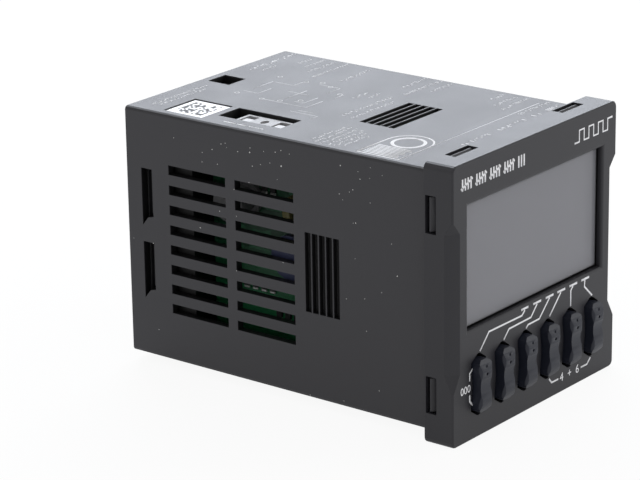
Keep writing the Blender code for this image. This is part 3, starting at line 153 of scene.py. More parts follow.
def moulded(name, colour, rough=0.5, grain=0.22 * MM, depth=0.012 * MM, mottle=0.16, painted_shades=(), sheen=0.5):
    """Moulded plastic: a fine grain, faint cloudiness and an uneven gloss. Painted shade darkens its colour
    in the given hollows.
    """
    finish = Finish(name, Specular_IOR_Level=sheen)
    clouds = finish.noise(9 * MM, 4)
    fine = finish.noise(grain, 3)
    share = clouds * 0.7 + fine * 0.3
    tone = finish.between(shade(colour, 1 - mottle), shade(colour, 1 + mottle), share)
    # Painted shade: inside each hollow the colour darkens to the shadow factor.
    for *place, shadow in painted_shades:
        tone = finish.between(tone, shade(colour, shadow), hollow(finish, *place))
    finish.feed("Base Color", tone)
    finish.feed("Roughness", rough - 0.08 + clouds * 0.1 + fine * 0.06)
    finish.relief(fine, depth)
    return finish


def dress(name, finish, edge=0.0, angle=35, smooth=False):
    """Gives a CAD node its finish, and eases its edges by a width. Smooth also blends its facets."""
    node = nodes[name]
    node.data.materials.clear()
    node.data.materials.append(finish.material)
    if edge:
        weld = node.modifiers.new("weld", "WELD")
        weld.merge_threshold = 0.002 * MM
        bevel = node.modifiers.new("eased edges", "BEVEL")
        bevel.width = edge
        bevel.segments = 2
        bevel.limit_method = "ANGLE"
        bevel.angle_limit = math.radians(angle)
        bevel.miter_outer = "MITER_ARC"
        bevel.loop_slide = False
        bevel.vmesh_method = "ADJ" if smooth else "CUTOFF"
        bevel.harden_normals = not smooth
        if smooth:
            even = node.modifiers.new("even shading", "WEIGHTED_NORMAL")
            even.keep_sharp = False
    return node


FRONT_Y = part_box("front_bezel")[0].y
MIDDLE_UP = 24
MIDDLE_Z = MIDDLE_UP * MM
BEZEL_GREY = (0.0200, 0.0197, 0.0235)
BEZEL_EDGE = 0.12 * MM
# Painted shade darkens the bezel's colour inside its skin, from just behind the front face to 9 mm back.
BEZEL_SHADE_HALF = 21.5 * MM
BEZEL_SHADE_NEAR = 0.95 * MM
BEZEL_SHADE_FAR = 9 * MM
INSIDE_SHADE = 0.12
BEZEL_PAINTED_SHADE = ((BEZEL_SHADE_HALF, FRONT_Y + BEZEL_SHADE_NEAR, FRONT_Y + BEZEL_SHADE_FAR, INSIDE_SHADE),)
bezel_plastic = moulded("bezel satin plastic", BEZEL_GREY, rough=0.46, painted_shades=BEZEL_PAINTED_SHADE, sheen=0.37)
dress("front_bezel", bezel_plastic, BEZEL_EDGE)

# White ink on the bezel's front: leader lines from the display to the keys, and brackets.
# It is pad printed, a few hundredths of a millimetre thick.

INK_LINE = 0.36 * MM
INK_THICK = 0.030 * MM
INK_GRAIN = 0.15 * MM
INK_WHITE = (0.84, 0.84, 0.86)


def printing_ink(name, colour):
    """Ink with a slightly broken surface."""
    finish = Finish(name)
    grain = finish.noise(INK_GRAIN, 3)
    finish.feed("Base Color", finish.between(shade(colour, 0.82), shade(colour, 1.1), grain))
    finish.feed("Roughness", 0.5 + grain * 0.2)
    finish.relief(grain, 0.006 * MM)
    return finish


def keep_mesh(name, mesh, finish, body="counter"):
    """A finished mesh as a piece that rides on a body."""
    mesh.materials.clear()
    mesh.materials.append(finish.material)
    piece = bpy.data.objects.new(name, mesh)
    bpy.context.scene.collection.objects.link(piece)
    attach(piece, body)
    return piece


def from_curve(name, curve):
    """The mesh of a curve or text, with its seams closed."""
    holder = bpy.data.objects.new(name, curve)
    bpy.context.scene.collection.objects.link(holder)
    mesh = bpy.data.meshes.new_from_object(holder.evaluated_get(bpy.context.evaluated_depsgraph_get()))
    bpy.data.objects.remove(holder)
    shape = bmesh.new()
    shape.from_mesh(mesh)
    bmesh.ops.remove_doubles(shape, verts=shape.verts, dist=0.001 * MM)
    shape.to_mesh(mesh)
    shape.free()
    mesh.name = name
    return mesh


def stroke_mesh(name, lines, width):
    """Lines of (across, up) points in millimetres, drawn in the XY plane as flat strokes."""
    curve = bpy.data.curves.new(name, "CURVE")
    curve.dimensions = "3D"
    curve.bevel_depth = width / 2
    curve.bevel_resolution = 1
    curve.use_fill_caps = True
    for line in lines:
        spline = curve.splines.new("POLY")
        spline.points.add(len(line) - 1)
        for point, (across, up) in zip(spline.points, line):
            point.co = (across * MM, up * MM, 0, 1)
    mesh = from_curve(name, curve)
    mesh.transform(Matrix.Diagonal((1, 1, INK_THICK / width, 1)))
    return mesh


def digits_mesh(text, size, across, up):
    """Plain numbers in the XY plane, as thick as the ink."""
    curve = bpy.data.curves.new(text, "FONT")
    curve.body = text
    curve.size = size
    curve.resolution_u = 3
    curve.extrude = INK_THICK / 2
    curve.align_x = "CENTER"
    mesh = from_curve(text, curve)
    mesh.transform(Matrix.Translation((across * MM, up * MM, 0)))
    return mesh


def joined(name, meshes):
    shape = bmesh.new()
    for mesh in meshes:
        shape.from_mesh(mesh)
        bpy.data.meshes.remove(mesh)
    whole = bpy.data.meshes.new(name)
    shape.to_mesh(whole)
    shape.free()
    return whole


# A mark drawn in the XY plane is turned to stand upright on the front face.
UPRIGHT = Matrix.Translation((0, FRONT_Y, 0)) @ Matrix.Rotation(math.radians(90), 4, "X")
front_ink = printing_ink("white printing ink", INK_WHITE)

leaders = [
    [(-3.41, 18.23), (-4.26, 17.49), (-13.82, 17.54), (-16.38, 14.93)],
    [(0.2, 18.25), (-1.6, 16.4), (-8.03, 16.29), (-9.58, 14.79)],
    [(3.98, 18.32), (0.91, 15.4), (-2.42, 15.35), (-3.03, 14.85)],
    [(7.37, 18.25), (3.97, 14.91)],
    [(11.08, 18.33), (10.4, 17.66), (10.42, 14.83)],
    [(14.75, 18.5), (14.63, 17.15), (17.06, 14.89)],
]
leader_mesh = stroke_mesh("leaders", leaders, INK_LINE)

# Each leader starts at a short bar below the display.
BAR_LINE = 0.42 * MM
BAR_UP = 18.52
bars = [(-4.5, -2.4), (-0.95, 1.4), (2.78, 5.1), (6.27, 8.67), (9.96, 12.35), (13.63, 16.05)]
bar_mesh = stroke_mesh("leader_bars", [[(left, BAR_UP), (right, BAR_UP)] for left, right in bars], BAR_LINE)
mesh = joined("leader_lines", [leader_mesh, bar_mesh])
mesh.transform(UPRIGHT)
keep_mesh("leader_lines", mesh, front_ink)

brackets = [
    [(-18.26, 12.6), (-19.26, 11.86), (-19.25, 10.58)],
    [(-19.25, 8.12), (-19.24, 7.0), (-18.24, 5.95)],
    [(4.01, 3.65), (4.85, 2.72), (6.85, 2.72)],
    [(13.79, 2.69), (15.73, 2.69), (16.8, 3.64)],
]
mesh = joined("key_brackets", [
    stroke_mesh("brackets", brackets, INK_LINE),
    digits_mesh("000", 1.9 * MM, -20.45, 8.7),
    digits_mesh("4  +  6", 2.2 * MM, 10.3, 2.05),
])
mesh.transform(UPRIGHT)
keep_mesh("key_brackets", mesh, front_ink)

# Two plain signs above the display: tally strokes on the left and a pulse train on the right.
# They are printed with the same ink in slightly heavier lines.

SIGN_LOW = 43.45
SIGN_HIGH = 45.45
TALLY_LEFT = -21.3
TALLY_STEP = 0.78
TALLY_GROUP = 3.95
TALLY_OVER = 0.45
TALLY_SLANT = 0.35
tallies = []
for group, strokes in enumerate((5, 5, 5, 5, 3)):
    start = TALLY_LEFT + group * TALLY_GROUP
    for i in range(min(strokes, 4)):
        across = start + i * TALLY_STEP
        tallies.append([(across, SIGN_LOW), (across, SIGN_HIGH)])
    if strokes == 5:
        tallies.append([(start - TALLY_OVER, SIGN_LOW + TALLY_SLANT),
                        (start + 3 * TALLY_STEP + TALLY_OVER, SIGN_HIGH - TALLY_SLANT)])
mesh = stroke_mesh("tally_sign", tallies, 0.42 * MM)
mesh.transform(UPRIGHT)
keep_mesh("tally_sign", mesh, front_ink)

PULSE_LEFT = 11.0
PULSE_STEP = 1.45
pulses = [(PULSE_LEFT, SIGN_LOW)]
for i in range(7):
    across = PULSE_LEFT + (i + 1) * PULSE_STEP
    before, after = (SIGN_LOW, SIGN_HIGH) if i % 2 == 0 else (SIGN_HIGH, SIGN_LOW)
    pulses += [(across, before), (across, after)]
pulses.append((PULSE_LEFT + 8 * PULSE_STEP, pulses[-1][1]))
mesh = stroke_mesh("pulse_sign", [pulses], 0.38 * MM)
mesh.transform(UPRIGHT)
keep_mesh("pulse_sign", mesh, front_ink)

# Display: a clear lens behind the opening, with the liquid-crystal glass right behind it.
# The glass sits in a plastic frame, and a milky light guide lights it from behind.

LENS_BORDER = 0.55 * MM
LENS_BORDER_GREY = (0.060, 0.060, 0.064)
LENS_GREY = (0.268, 0.268, 0.290)
LENS_CLEARNESS = 0.4
lens_low, lens_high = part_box("display_lens")
lens = Finish("display lens", IOR=1.45)
across, _, up = lens.axes()
side = (lens_high.x - lens_low.x) / 2 - across.distance((lens_high.x + lens_low.x) / 2)
end = (lens_high.z - lens_low.z) / 2 - up.distance((lens_high.z + lens_low.z) / 2)
inner = (side.sum("MINIMUM", side, end) * (1 / LENS_BORDER)).clamped()
lens.feed("Base Color", lens.between(LENS_BORDER_GREY, LENS_GREY, inner))
lens.feed("Alpha", 1 - inner * LENS_CLEARNESS)
lens.feed("Roughness", 0.1 + lens.noise(14 * MM, 3) * 0.06)
dress("display_lens", lens)

LCD_GREY = (0.185, 0.186, 0.200)
LCD_COOL = (0.175, 0.192, 0.218)
glass = Finish("liquid crystal glass", IOR=1.5)
haze = glass.noise(17 * MM, 2)
cool = glass.noise(11 * MM, 1)
grey = glass.between(shade(LCD_GREY, 0.93), shade(LCD_GREY, 1.07), haze)
glass.feed("Base Color", glass.between(grey, LCD_COOL, cool * 0.45))
glass.feed("Roughness", 0.3 + haze * 0.1)
dress("lcd_panel", glass)

guide = moulded("milky diffuser", (0.72, 0.73, 0.75), rough=0.4, grain=0.3 * MM, depth=0.004 * MM,
                mottle=0.05)
SOFT_EDGE = 0.1 * MM
dress("light_guide", guide, SOFT_EDGE)
dress("lcd_frame", moulded("display frame plastic", (0.10, 0.10, 0.11), rough=0.5), SOFT_EDGE)

# Keys: six rocker caps in a smoother, bluer plastic than the bezel.
# Each is one moulding that rocks across its middle on the rubber mat.

KEY_BLUE = (0.0125, 0.0145, 0.0235)
KEY_EDGE = 0.26 * MM
KEY_EDGE_ANGLE = 28
key_finish = moulded("key plastic", KEY_BLUE, rough=0.42, grain=0.35 * MM, depth=0.010 * MM, mottle=0.14,
                     sheen=0.33)
for number in range(1, 7):
    dress("key_%d" % number, key_finish, KEY_EDGE, angle=KEY_EDGE_ANGLE, smooth=True)

# Key mat: grey silicone rubber with a dome below each end of a key.
# It is moulded in one piece and lies on the front board behind the keys.

rubber = moulded("silicone rubber", (0.10, 0.10, 0.11), rough=0.7, grain=0.4 * MM, depth=0.008 * MM)
dress("key_mat", rubber, SOFT_EDGE)

# Circuit boards: green solder mask over copper tracks on glass laminate.
# They stand on edge in the case's rails, and the two long ones plug into the front one.

# The tracks' pattern in radians per metre, across them and along them.
TRACK_TURNS = 3900
BREAK_TURNS = 640
MASK_DARK = (0.010, 0.070, 0.030)
MASK_LIGHT = (0.024, 0.140, 0.062)
MASK_BRIGHT = (0.020, 0.260, 0.090)
MASK_BRIGHT_BELOW = 22 * MM
PADS_PER_METRE = 420
PAD_TIN = (0.52, 0.50, 0.44)


def solder_mask(name, along, across):
    """Green mask whose tracks run along one axis, with tinned pads between them."""
    finish = Finish(name, IOR=1.5)
    axes = dict(zip("xyz", finish.axes()))
    wander = finish.noise(5 * MM, 2)
    lane = finish.node("ShaderNodeMath", {"operation": "SINE"}, {0: axes[across] * TRACK_TURNS + wander * 9})
    chop = finish.node("ShaderNodeMath", {"operation": "SINE"}, {0: axes[along] * BREAK_TURNS + wander * 11})
    tracks = (lane > 0.35) * (chop > -0.55)
    mask = finish.between(MASK_DARK, MASK_LIGHT, tracks)
    low = ((MASK_BRIGHT_BELOW - axes["z"]) * 90).clamped()
    mask = finish.between(mask, MASK_BRIGHT, low * 0.8)
    cells = finish.node("ShaderNodeTexVoronoi", None, {
        "Vector": finish.place(), "Scale": PADS_PER_METRE, "Randomness": 0.6})
    pads = (cells < 0.17) * (chop > 0.2)
    finish.feed("Base Color", finish.between(mask, PAD_TIN, pads))
    finish.feed("Roughness", 0.34 + wander * 0.12)
    finish.feed("Metallic", pads * 0.8)
    finish.relief(tracks + pads, 0.03 * MM)
    return finish


THIN_EDGE = 0.08 * MM
long_mask = solder_mask("solder mask along", "y", "z")
dress("main_board", long_mask, THIN_EDGE)
dress("power_board", long_mask, THIN_EDGE)
dress("front_board", solder_mask("solder mask across", "x", "z"), THIN_EDGE)
nylon = moulded("natural nylon", (0.66, 0.63, 0.52), rough=0.45, grain=0.3 * MM)
dress("main_board_connector", nylon, SOFT_EDGE)
dress("power_board_connector", nylon, SOFT_EDGE)

# Transformer: varnished steel laminations round a taped winding.
# It stands on the power board, with the core's leaves side by side across the case.

LEAF_TURNS = 12500
CORE_DARK = (0.020, 0.018, 0.018)
CORE_RUST = (0.045, 0.038, 0.032)
core = Finish("varnished laminations", Metallic=0.6)
leaf = core.node("ShaderNodeMath", {"operation": "SINE"}, {0: core.axes()[0] * LEAF_TURNS})
rust = core.noise(2.5 * MM, 4)
core.feed("Base Color", core.between(CORE_DARK, CORE_RUST, leaf * 0.25 + rust * 0.6))
core.feed("Roughness", 0.38 + rust * 0.25)
core.relief(leaf, 0.03 * MM)
dress("transformer_core", core, SOFT_EDGE)

tape = Finish("winding tape")
wrinkle = tape.noise(1.4 * MM, 4)
tape.feed("Base Color", tape.between((0.48, 0.34, 0.035), (0.72, 0.56, 0.08), wrinkle))
tape.feed("Roughness", 0.28 + wrinkle * 0.2)
tape.relief(wrinkle, 0.05 * MM)
dress("transformer_bobbin", tape, 0.15 * MM)

# Smaller parts: relay, electrolytic capacitors, a ceramic disc, a choke and the controller chip.
# They stand on the two long boards and show a little through the vents.

relay_cover = moulded("relay cover", (0.62, 0.64, 0.64), rough=0.35, grain=0.3 * MM)
dress("relay", relay_cover, 0.2 * MM)


def sleeve(name, middle_z, radius):
    """Shrink sleeve in blue with a pale stripe along one side."""
    finish = Finish(name)
    up = finish.axes()[2]
    clouds = finish.noise(2.5 * MM, 3)
    stripe = (up > middle_z + 0.45 * radius) * (up < middle_z + 0.8 * radius)
    blue = finish.between((0.030, 0.036, 0.080), (0.050, 0.058, 0.120), clouds)
    finish.feed("Base Color", finish.between(blue, (0.20, 0.21, 0.24), stripe))
    finish.feed("Roughness", 0.3 + clouds * 0.15)
    finish.relief(clouds, 0.02 * MM)
    return finish


for name in ("supply_capacitor", "filter_capacitor"):
    low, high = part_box(name)
    finish = sleeve("shrink sleeve " + name.split("_")[0], (low.z + high.z) / 2, (high.z - low.z) / 2)
    dress(name, finish, SOFT_EDGE)
resin = moulded("dipped resin", (0.20, 0.18, 0.07), rough=0.3, grain=0.5 * MM, depth=0.02 * MM)
dress("noise_capacitor", resin)
ferrite = moulded("bare ferrite", (0.16, 0.16, 0.165), rough=0.55, grain=0.2 * MM, depth=0.02 * MM)
dress("choke", ferrite, THIN_EDGE)
epoxy = moulded("moulded epoxy", (0.014, 0.014, 0.015), rough=0.55, grain=0.12 * MM)
dress("controller_chip", epoxy, THIN_EDGE)

# Chip resistors on the main board's outer face: small dark bodies with tinned ends.
# They are placed by machine in short rows and soldered down.

BOARD_FACE_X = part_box("main_board")[0].x
CHIP_PITCH = 1.9
CHIP_SIZE = (0.5, 1.1, 1.2)
CHIP_END_SIZE = (0.5, 1.2, 0.5)
CHIP_END_OUT = 0.85
CHIP_ROWS = (
    (29.0, 31.2, 3), (29.4, 26.0, 4), (45.5, 33.4, 4),
    (46.0, 15.5, 6), (37.0, 11.0, 5), (54.0, 20.0, 3),
)


def add_block(shape, centre, size, ease=0.05 * MM):
    """An eased box added to a shape. Centre and size in millimetres."""
    made = bmesh.ops.create_cube(shape, size=1)
    verts = made["verts"]
    bmesh.ops.scale(shape, vec=[s * MM for s in size], verts=verts)
    bmesh.ops.translate(shape, vec=[c * MM for c in centre], verts=verts)
    edges = list({edge for vert in verts for edge in vert.link_edges})
    bmesh.ops.bevel(shape, geom=edges, offset=ease, offset_type="OFFSET", segments=1, profile=0.5,
                    affect="EDGES", material=-1)


def shape_piece(name, build, finish, body="counter"):
    """A new piece whose bmesh is filled by a function."""
    shape = bmesh.new()
    build(shape)
    mesh = bpy.data.meshes.new(name)
    shape.to_mesh(mesh)
    shape.free()
    return keep_mesh(name, mesh, finish, body)


def chip_places():
    for deep, up, count in CHIP_ROWS:
        for i in range(count):
            yield FRONT_Y / MM + deep + CHIP_PITCH * i, up


def chip_bodies(shape):
    for deep, up in chip_places():
        add_block(shape, (BOARD_FACE_X / MM - 0.3, deep, up), CHIP_SIZE)


def chip_ends(shape):
    for deep, up in chip_places():
        for side in (-CHIP_END_OUT, CHIP_END_OUT):
            add_block(shape, (BOARD_FACE_X / MM - 0.27, deep, up + side), CHIP_END_SIZE, 0.12 * MM)


tin = Finish("bright solder", Metallic=0.9)
ripple = tin.noise(0.6 * MM, 3)
tin.feed("Base Color", tin.between((0.42, 0.42, 0.41), (0.66, 0.66, 0.64), ripple))
tin.feed("Roughness", 0.25 + ripple * 0.25)
tin.relief(ripple, 0.03 * MM)
chip_ceramic = moulded("chip resistor body", (0.03, 0.03, 0.03), rough=0.5)
shape_piece("chip_resistors", chip_bodies, chip_ceramic)
shape_piece("chip_resistor_ends", chip_ends, tin)

# Setting switch: a white insert below its window in the top, with two sliders and a dimple.
# The sliders are pale and shaded by the slots that they run in.

switch_finish = moulded("switch white plastic", (0.30, 0.30, 0.31), rough=0.5, grain=0.3 * MM,
                        depth=0.006 * MM, mottle=0.05)
dress("switch_body", switch_finish, THIN_EDGE)
slider_finish = moulded("slider plastic", (0.44, 0.44, 0.45), rough=0.45, grain=0.3 * MM,
                        depth=0.006 * MM, mottle=0.06)
dress("switch_slider_1", slider_finish, THIN_EDGE)
dress("switch_slider_2", slider_finish, THIN_EDGE)

# Case: a square tube moulded with its vents, racks, windows and board rails.
# The plastic is the bezel's, a little lighter, and painted shade darkens its colour inside.

CASE_GREY = (0.0220, 0.0215, 0.0255)
CASE_HALF = 22.4 * MM
CASE_EDGE = 0.05 * MM
CASE_SHADE_NEAR = 6 * MM
CASE_SHADE_FAR = 70.1 * MM
CASE_PAINTED_SHADE = ((CASE_HALF, FRONT_Y + CASE_SHADE_NEAR, FRONT_Y + CASE_SHADE_FAR, INSIDE_SHADE),)
case_plastic = moulded("case satin plastic", CASE_GREY, rough=0.50, painted_shades=CASE_PAINTED_SHADE, sheen=0.46)
dress("case_body", case_plastic, CASE_EDGE)

# Pale grey printing on the case's top: rows of small bars, a thin line, a wiring-like sketch
# of rings and lines, and a plain framed block of bars.

TOP_Z = MIDDLE_Z + CASE_HALF
LEFT_X = -CASE_HALF
ON_TOP = Matrix.Translation((0, FRONT_Y, TOP_Z))
draw = random.Random(48)
top_ink = printing_ink("grey printing ink", (0.62, 0.62, 0.63))
bold_ink = printing_ink("pale printing ink", (0.76, 0.76, 0.77))


def bar_row(left, right, deep, tall, gap=0.14):
    """Short bars that stand side by side along a row, some split in two, as small marks."""
    strokes = []
    across = left
    while across < right - 0.2:
        step = draw.uniform(0.26, 0.55)
        lift = draw.choice((0.0, 0.0, 0.35)) * tall
        top = deep + tall * draw.choice((1.0, 1.0, 0.7))
        if draw.random() < 0.45:
            strokes.append([(across, deep + lift), (across, top)])
        else:
            level = deep + tall * draw.choice((0.05, 0.5, 0.95))
            strokes.append([(across, level), (min(across + step, right), level)])
        across += step + draw.uniform(0.4, 1.0) * gap
    return strokes


small_rows = [
    (16.6, 20.6, 20.6, 0.7), (14.2, 20.4, 17.9, 0.7), (12.6, 20.9, 15.6, 0.7), (11.8, 21.2, 11.4, 0.7),
    (-18.8, -4.1, 66.7, 0.65), (-18.4, -6.3, 65.5, 0.5), (9.0, 13.0, 65.0, 0.5), (16.6, 20.5, 62.6, 0.6),
    (15.3, 21.3, 60.0, 0.6), (13.0, 21.0, 57.6, 0.6), (10.9, 21.6, 54.8, 0.7), (11.7, 20.0, 49.0, 0.8),
    (14.1, 21.6, 37.6, 0.7), (10.9, 21.4, 34.6, 0.7), (15.0, 21.0, 31.9, 0.6), (-5.6, 8.4, 35.4, 0.7),
    (-6.3, 6.0, 33.4, 0.6), (4.0, 8.6, 40.6, 0.6), (5.5, 9.2, 38.6, 0.6),
    (-19.6, -10.9, 31.0, 0.6), (-20.6, -10.6, 29.7, 0.6), (-20.8, -10.6, 28.4, 0.6),
    (-21.0, -10.8, 27.1, 0.6), (-20.6, -11.6, 25.8, 0.6), (-19.8, -13.0, 24.5, 0.6),
]
strokes = []
for left, right, deep, tall in small_rows:
    strokes += bar_row(left, right, deep, tall)
mesh = stroke_mesh("top_small_marks", strokes, 0.26 * MM)
mesh.transform(ON_TOP)
keep_mesh("top_small_marks", mesh, top_ink)

large_rows = [(-8.1, -0.2, 8.5, 1.1), (2.4, 10.0, 8.4, 1.3), (12.6, 20.6, 8.5, 1.3), (8.1, 21.8, 67.0, 0.8)]
strokes = []
for left, right, deep, tall in large_rows:
    strokes += bar_row(left, right, deep, tall, gap=0.5)
mesh = stroke_mesh("top_large_marks", strokes, 0.30 * MM)
mesh.transform(ON_TOP)
keep_mesh("top_large_marks", mesh, bold_ink)


def ring_line(across, deep, radius, count=14):
    points = []
    for i in range(count + 1):
        turn = 2 * math.pi * i / count
        points.append((across + radius * math.cos(turn), deep + radius * math.sin(turn)))
    return points


sketch = [
    [(-20.6, 12.9), (19.5, 12.9)],
    [(-3.2, 59.6), (-3.2, 56.4), (0.5, 56.4)], [(-1.1, 59.0), (4.3, 59.0)],
    [(4.3, 58.4), (4.3, 54.4), (7.4, 54.4)], [(-5.5, 53.7), (-5.5, 44.0), (-0.7, 44.0)],
    [(7.4, 51.0), (7.4, 46.5), (3.4, 46.5)], [(1.7, 43.5), (4.4, 43.5)],
    [(-8.7, 44.9), (-8.7, 39.0), (-10.7, 39.0)], [(-7.6, 44.1), (-7.6, 40.6)],
    [(-3.0, 50.4), (3.0, 50.4)], [(-3.6, 48.0), (-3.6, 46.0), (0.4, 46.0)], [(0.8, 52.9), (0.8, 48.4)],
]
DOT_RADIUS = 0.42
dots = [
    (7.4, 59.9), (7.4, 54.0), (8.5, 51.2), (7.2, 48.4), (4.4, 44.2),
    (-5.5, 53.7), (-4.7, 50.3), (-2.6, 47.4), (-4.9, 59.7),
]
sketch += [ring_line(across, deep, DOT_RADIUS) for across, deep in dots]
mesh = stroke_mesh("top_sketch", sketch, 0.18 * MM)
mesh.transform(ON_TOP)
keep_mesh("top_sketch", mesh, top_ink)

# The framed block of bars: its outline is round at one end, with a plain ring beside the bars.
BLOCK_NEAR = 12.9
BLOCK_FAR = 21.3
BLOCK_TURN = -12.4
BLOCK_LEFT = -20.9
BLOCK_RINGS = (2.9, 2.6)
block_radius = (BLOCK_FAR - BLOCK_NEAR) / 2
block_middle = (BLOCK_FAR + BLOCK_NEAR) / 2
outline = [(BLOCK_LEFT, BLOCK_FAR)]
for i in range(13):
    turn = math.radians(90 - 15 * i)
    outline.append((BLOCK_TURN + block_radius * math.cos(turn),
                    block_middle + block_radius * math.sin(turn)))
outline += [(BLOCK_LEFT, BLOCK_NEAR), (BLOCK_LEFT, BLOCK_FAR)]
block_lines = [outline]
for radius in BLOCK_RINGS:
    block_lines.append(ring_line(BLOCK_TURN, block_middle, radius, count=24))
for i in range(8):
    across = -20.2 + 0.62 * i
    block_lines.append([(across, BLOCK_FAR - 0.6), (across, BLOCK_NEAR + 0.6 + (i % 3) * 0.4)])
mesh = stroke_mesh("top_bar_block", block_lines, 0.34 * MM)
mesh.transform(ON_TOP)
keep_mesh("top_bar_block", mesh, bold_ink)

# A white row of marks between the switch window and the left edge.
strokes = [[(-20.0, 50.2), (-20.0, 47.6)], [(-20.0, 47.2), (-20.0, 45.4)]]
for i in range(7):
    strokes.append([(-20.2 + 0.12 * (i % 3), 44.6 - 0.45 * i), (-19.8, 44.6 - 0.45 * i)])
mesh = stroke_mesh("window_marks", strokes, 0.34 * MM)
mesh.transform(ON_TOP)
keep_mesh("window_marks", mesh, bold_ink)

# Code label: white film in its shallow recess, with a chequer of random black cells.
# The film lies on the recess's floor, and its print encodes nothing.

LABEL_MIDDLE = (-16.3, 58.9)
LABEL_SIDE = 7.9
LABEL_CELLS = 13
LABEL_PRINT = 6.0
LABEL_FILM = 0.1
LABEL_RECESS = 0.25
LABEL_FLOOR = TOP_Z / MM - LABEL_RECESS
CELL_SHARE = 0.97
CELL_THICK = 0.016


def label_film(shape):
    centre = (LABEL_MIDDLE[0], FRONT_Y / MM + LABEL_MIDDLE[1], LABEL_FLOOR + LABEL_FILM / 2)
    add_block(shape, centre, (LABEL_SIDE, LABEL_SIDE, LABEL_FILM), 0.02 * MM)


def label_cells(shape):
    cell = LABEL_PRINT / LABEL_CELLS
    start = -LABEL_PRINT / 2 + cell / 2
    for row in range(LABEL_CELLS):
        for column in range(LABEL_CELLS):
            if draw.random() < 0.5:
                centre = (LABEL_MIDDLE[0] + start + cell * column,
                          FRONT_Y / MM + LABEL_MIDDLE[1] + start + cell * row,
                          LABEL_FLOOR + LABEL_FILM + 0.004)
                size = (CELL_SHARE * cell * MM, CELL_SHARE * cell * MM, CELL_THICK * MM)
                made = bmesh.ops.create_cube(shape, size=1)
                bmesh.ops.scale(shape, vec=size, verts=made["verts"])
                bmesh.ops.translate(shape, vec=[c * MM for c in centre], verts=made["verts"])


film = moulded("label film", (0.80, 0.80, 0.81), rough=0.4, grain=0.4 * MM, depth=0.003 * MM, mottle=0.03)
shape_piece("code_label", label_film, film)
cell_ink = moulded("label print", (0.012, 0.012, 0.014), rough=0.6)
shape_piece("code_label_cells", label_cells, cell_ink)

# Dust: pale specks that have settled on the left side, half sunk into the plastic's grain.
# Each is a depth behind the front and a height, in millimetres, and a share of SPECK_RADIUS.
# The places were read from the photo and turned into millimetres with the fitted camera.

SPECKS = (
    (59.4, 42.5, 1.0), (48.9, 43.2, 1.0), (48.0, 43.5, 1.0), (50.9, 41.9, 1.1), (47.7, 42.8, 0.8),
    (53.1, 41.0, 1.0), (45.3, 42.5, 1.0), (42.7, 42.8, 1.7), (42.6, 43.6, 0.8), (39.7, 43.5, 0.9),
    (37.2, 43.8, 1.0), (36.0, 44.3, 1.1), (34.2, 44.0, 0.9), (53.2, 39.3, 0.8), (49.8, 39.5, 1.0),
    (42.2, 40.5, 1.0), (40.4, 41.1, 0.8), (38.4, 41.7, 0.8), (36.0, 41.6, 1.6), (36.9, 39.1, 0.8),
    (49.6, 31.2, 1.2), (43.0, 37.5, 0.8), (46.3, 35.7, 1.0), (45.9, 31.0, 0.9), (46.2, 21.2, 0.8),
    (36.0, 24.7, 0.8), (23.6, 43.9, 1.1), (19.6, 42.3, 1.1), (21.1, 40.2, 1.0), (23.2, 38.1, 0.8),
    (21.1, 34.5, 0.8), (17.6, 42.8, 0.8), (69.3, 22.6, 0.9), (64.8, 22.5, 1.1), (54.0, 27.4, 1.2),
    (15.1, 43.7, 0.9), (17.5, 44.6, 0.8), (17.6, 38.6, 0.9), (20.0, 43.5, 0.8), (21.8, 39.7, 0.8),
    (23.9, 39.0, 0.8), (13.3, 32.4, 0.8), (20.6, 34.6, 1.1), (20.8, 28.4, 0.8), (12.2, 27.1, 1.2),
    (15.4, 23.6, 1.0), (18.9, 21.8, 1.0), (22.7, 21.0, 0.9), (18.6, 16.2, 0.8), (16.1, 6.2, 0.9),
    (23.5, 2.7, 0.8), (64.2, 6.7, 1.0), (30.7, 2.1, 0.9),
)
SPECK_RADIUS = 0.085


def speck_blobs(shape):
    for deep, up, size in SPECKS:
        made = bmesh.ops.create_icosphere(shape, subdivisions=1, radius=SPECK_RADIUS * size * MM)
        turn = Matrix.Rotation(draw.uniform(0, 3), 3, "X")
        turn = turn @ Matrix.Diagonal((0.5, draw.uniform(0.7, 1.4), 1))
        bmesh.ops.transform(shape, matrix=turn.to_4x4(), verts=made["verts"])
        bmesh.ops.translate(shape, vec=(LEFT_X, FRONT_Y + deep * MM, up * MM), verts=made["verts"])


dust = Finish("pale dust")
dust.feed("Base Color", dust.between((0.55, 0.55, 0.53), (0.85, 0.85, 0.83), dust.noise(0.1 * MM)))
dust.feed("Roughness", 0.85)
shape_piece("dust_specks", speck_blobs, dust)

# Terminal block: black moulding that hooks into the case's rear windows.
# Its two rows of bays are numbered on the middle rib.

BLOCK_BLACK = (0.018, 0.018, 0.020)
# Painted shade darkens the block's colour from 40 to 62 mm behind the front, inside the case's skin.
BLOCK_PAINTED_SHADE = ((CASE_HALF, FRONT_Y + 40 * MM, FRONT_Y + 62 * MM, 0.1),)
block_plastic = moulded("terminal block plastic", BLOCK_BLACK, rough=0.5, painted_shades=BLOCK_PAINTED_SHADE, sheen=0.35)
dress("terminal_block", block_plastic, SOFT_EDGE)
BLOCK_REAR_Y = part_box("terminal_block")[1].y
TURNED_ROUND = Matrix.Rotation(math.pi, 4, "Z")
STOOD_UP = Matrix.Rotation(math.radians(90), 4, "X")
FROM_BEHIND = Matrix.Translation((0, BLOCK_REAR_Y, 0)) @ TURNED_ROUND @ STOOD_UP
NUMBER_SIZE = 1.9 * MM
LOWER_NUMBERS = MIDDLE_UP - 4.3
UPPER_NUMBERS = MIDDLE_UP + 3.0
numbers = []
for number in range(1, 13):
    plate_low, plate_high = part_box("terminal_plate_%d" % number)
    across = (plate_low.x + plate_high.x) / 2 / MM
    up = LOWER_NUMBERS if number <= 6 else UPPER_NUMBERS
    numbers.append(digits_mesh(str(number), NUMBER_SIZE, -across, up))
mesh = joined("terminal_numbers", numbers)
mesh.transform(FROM_BEHIND)
keep_mesh("terminal_numbers", mesh, front_ink)

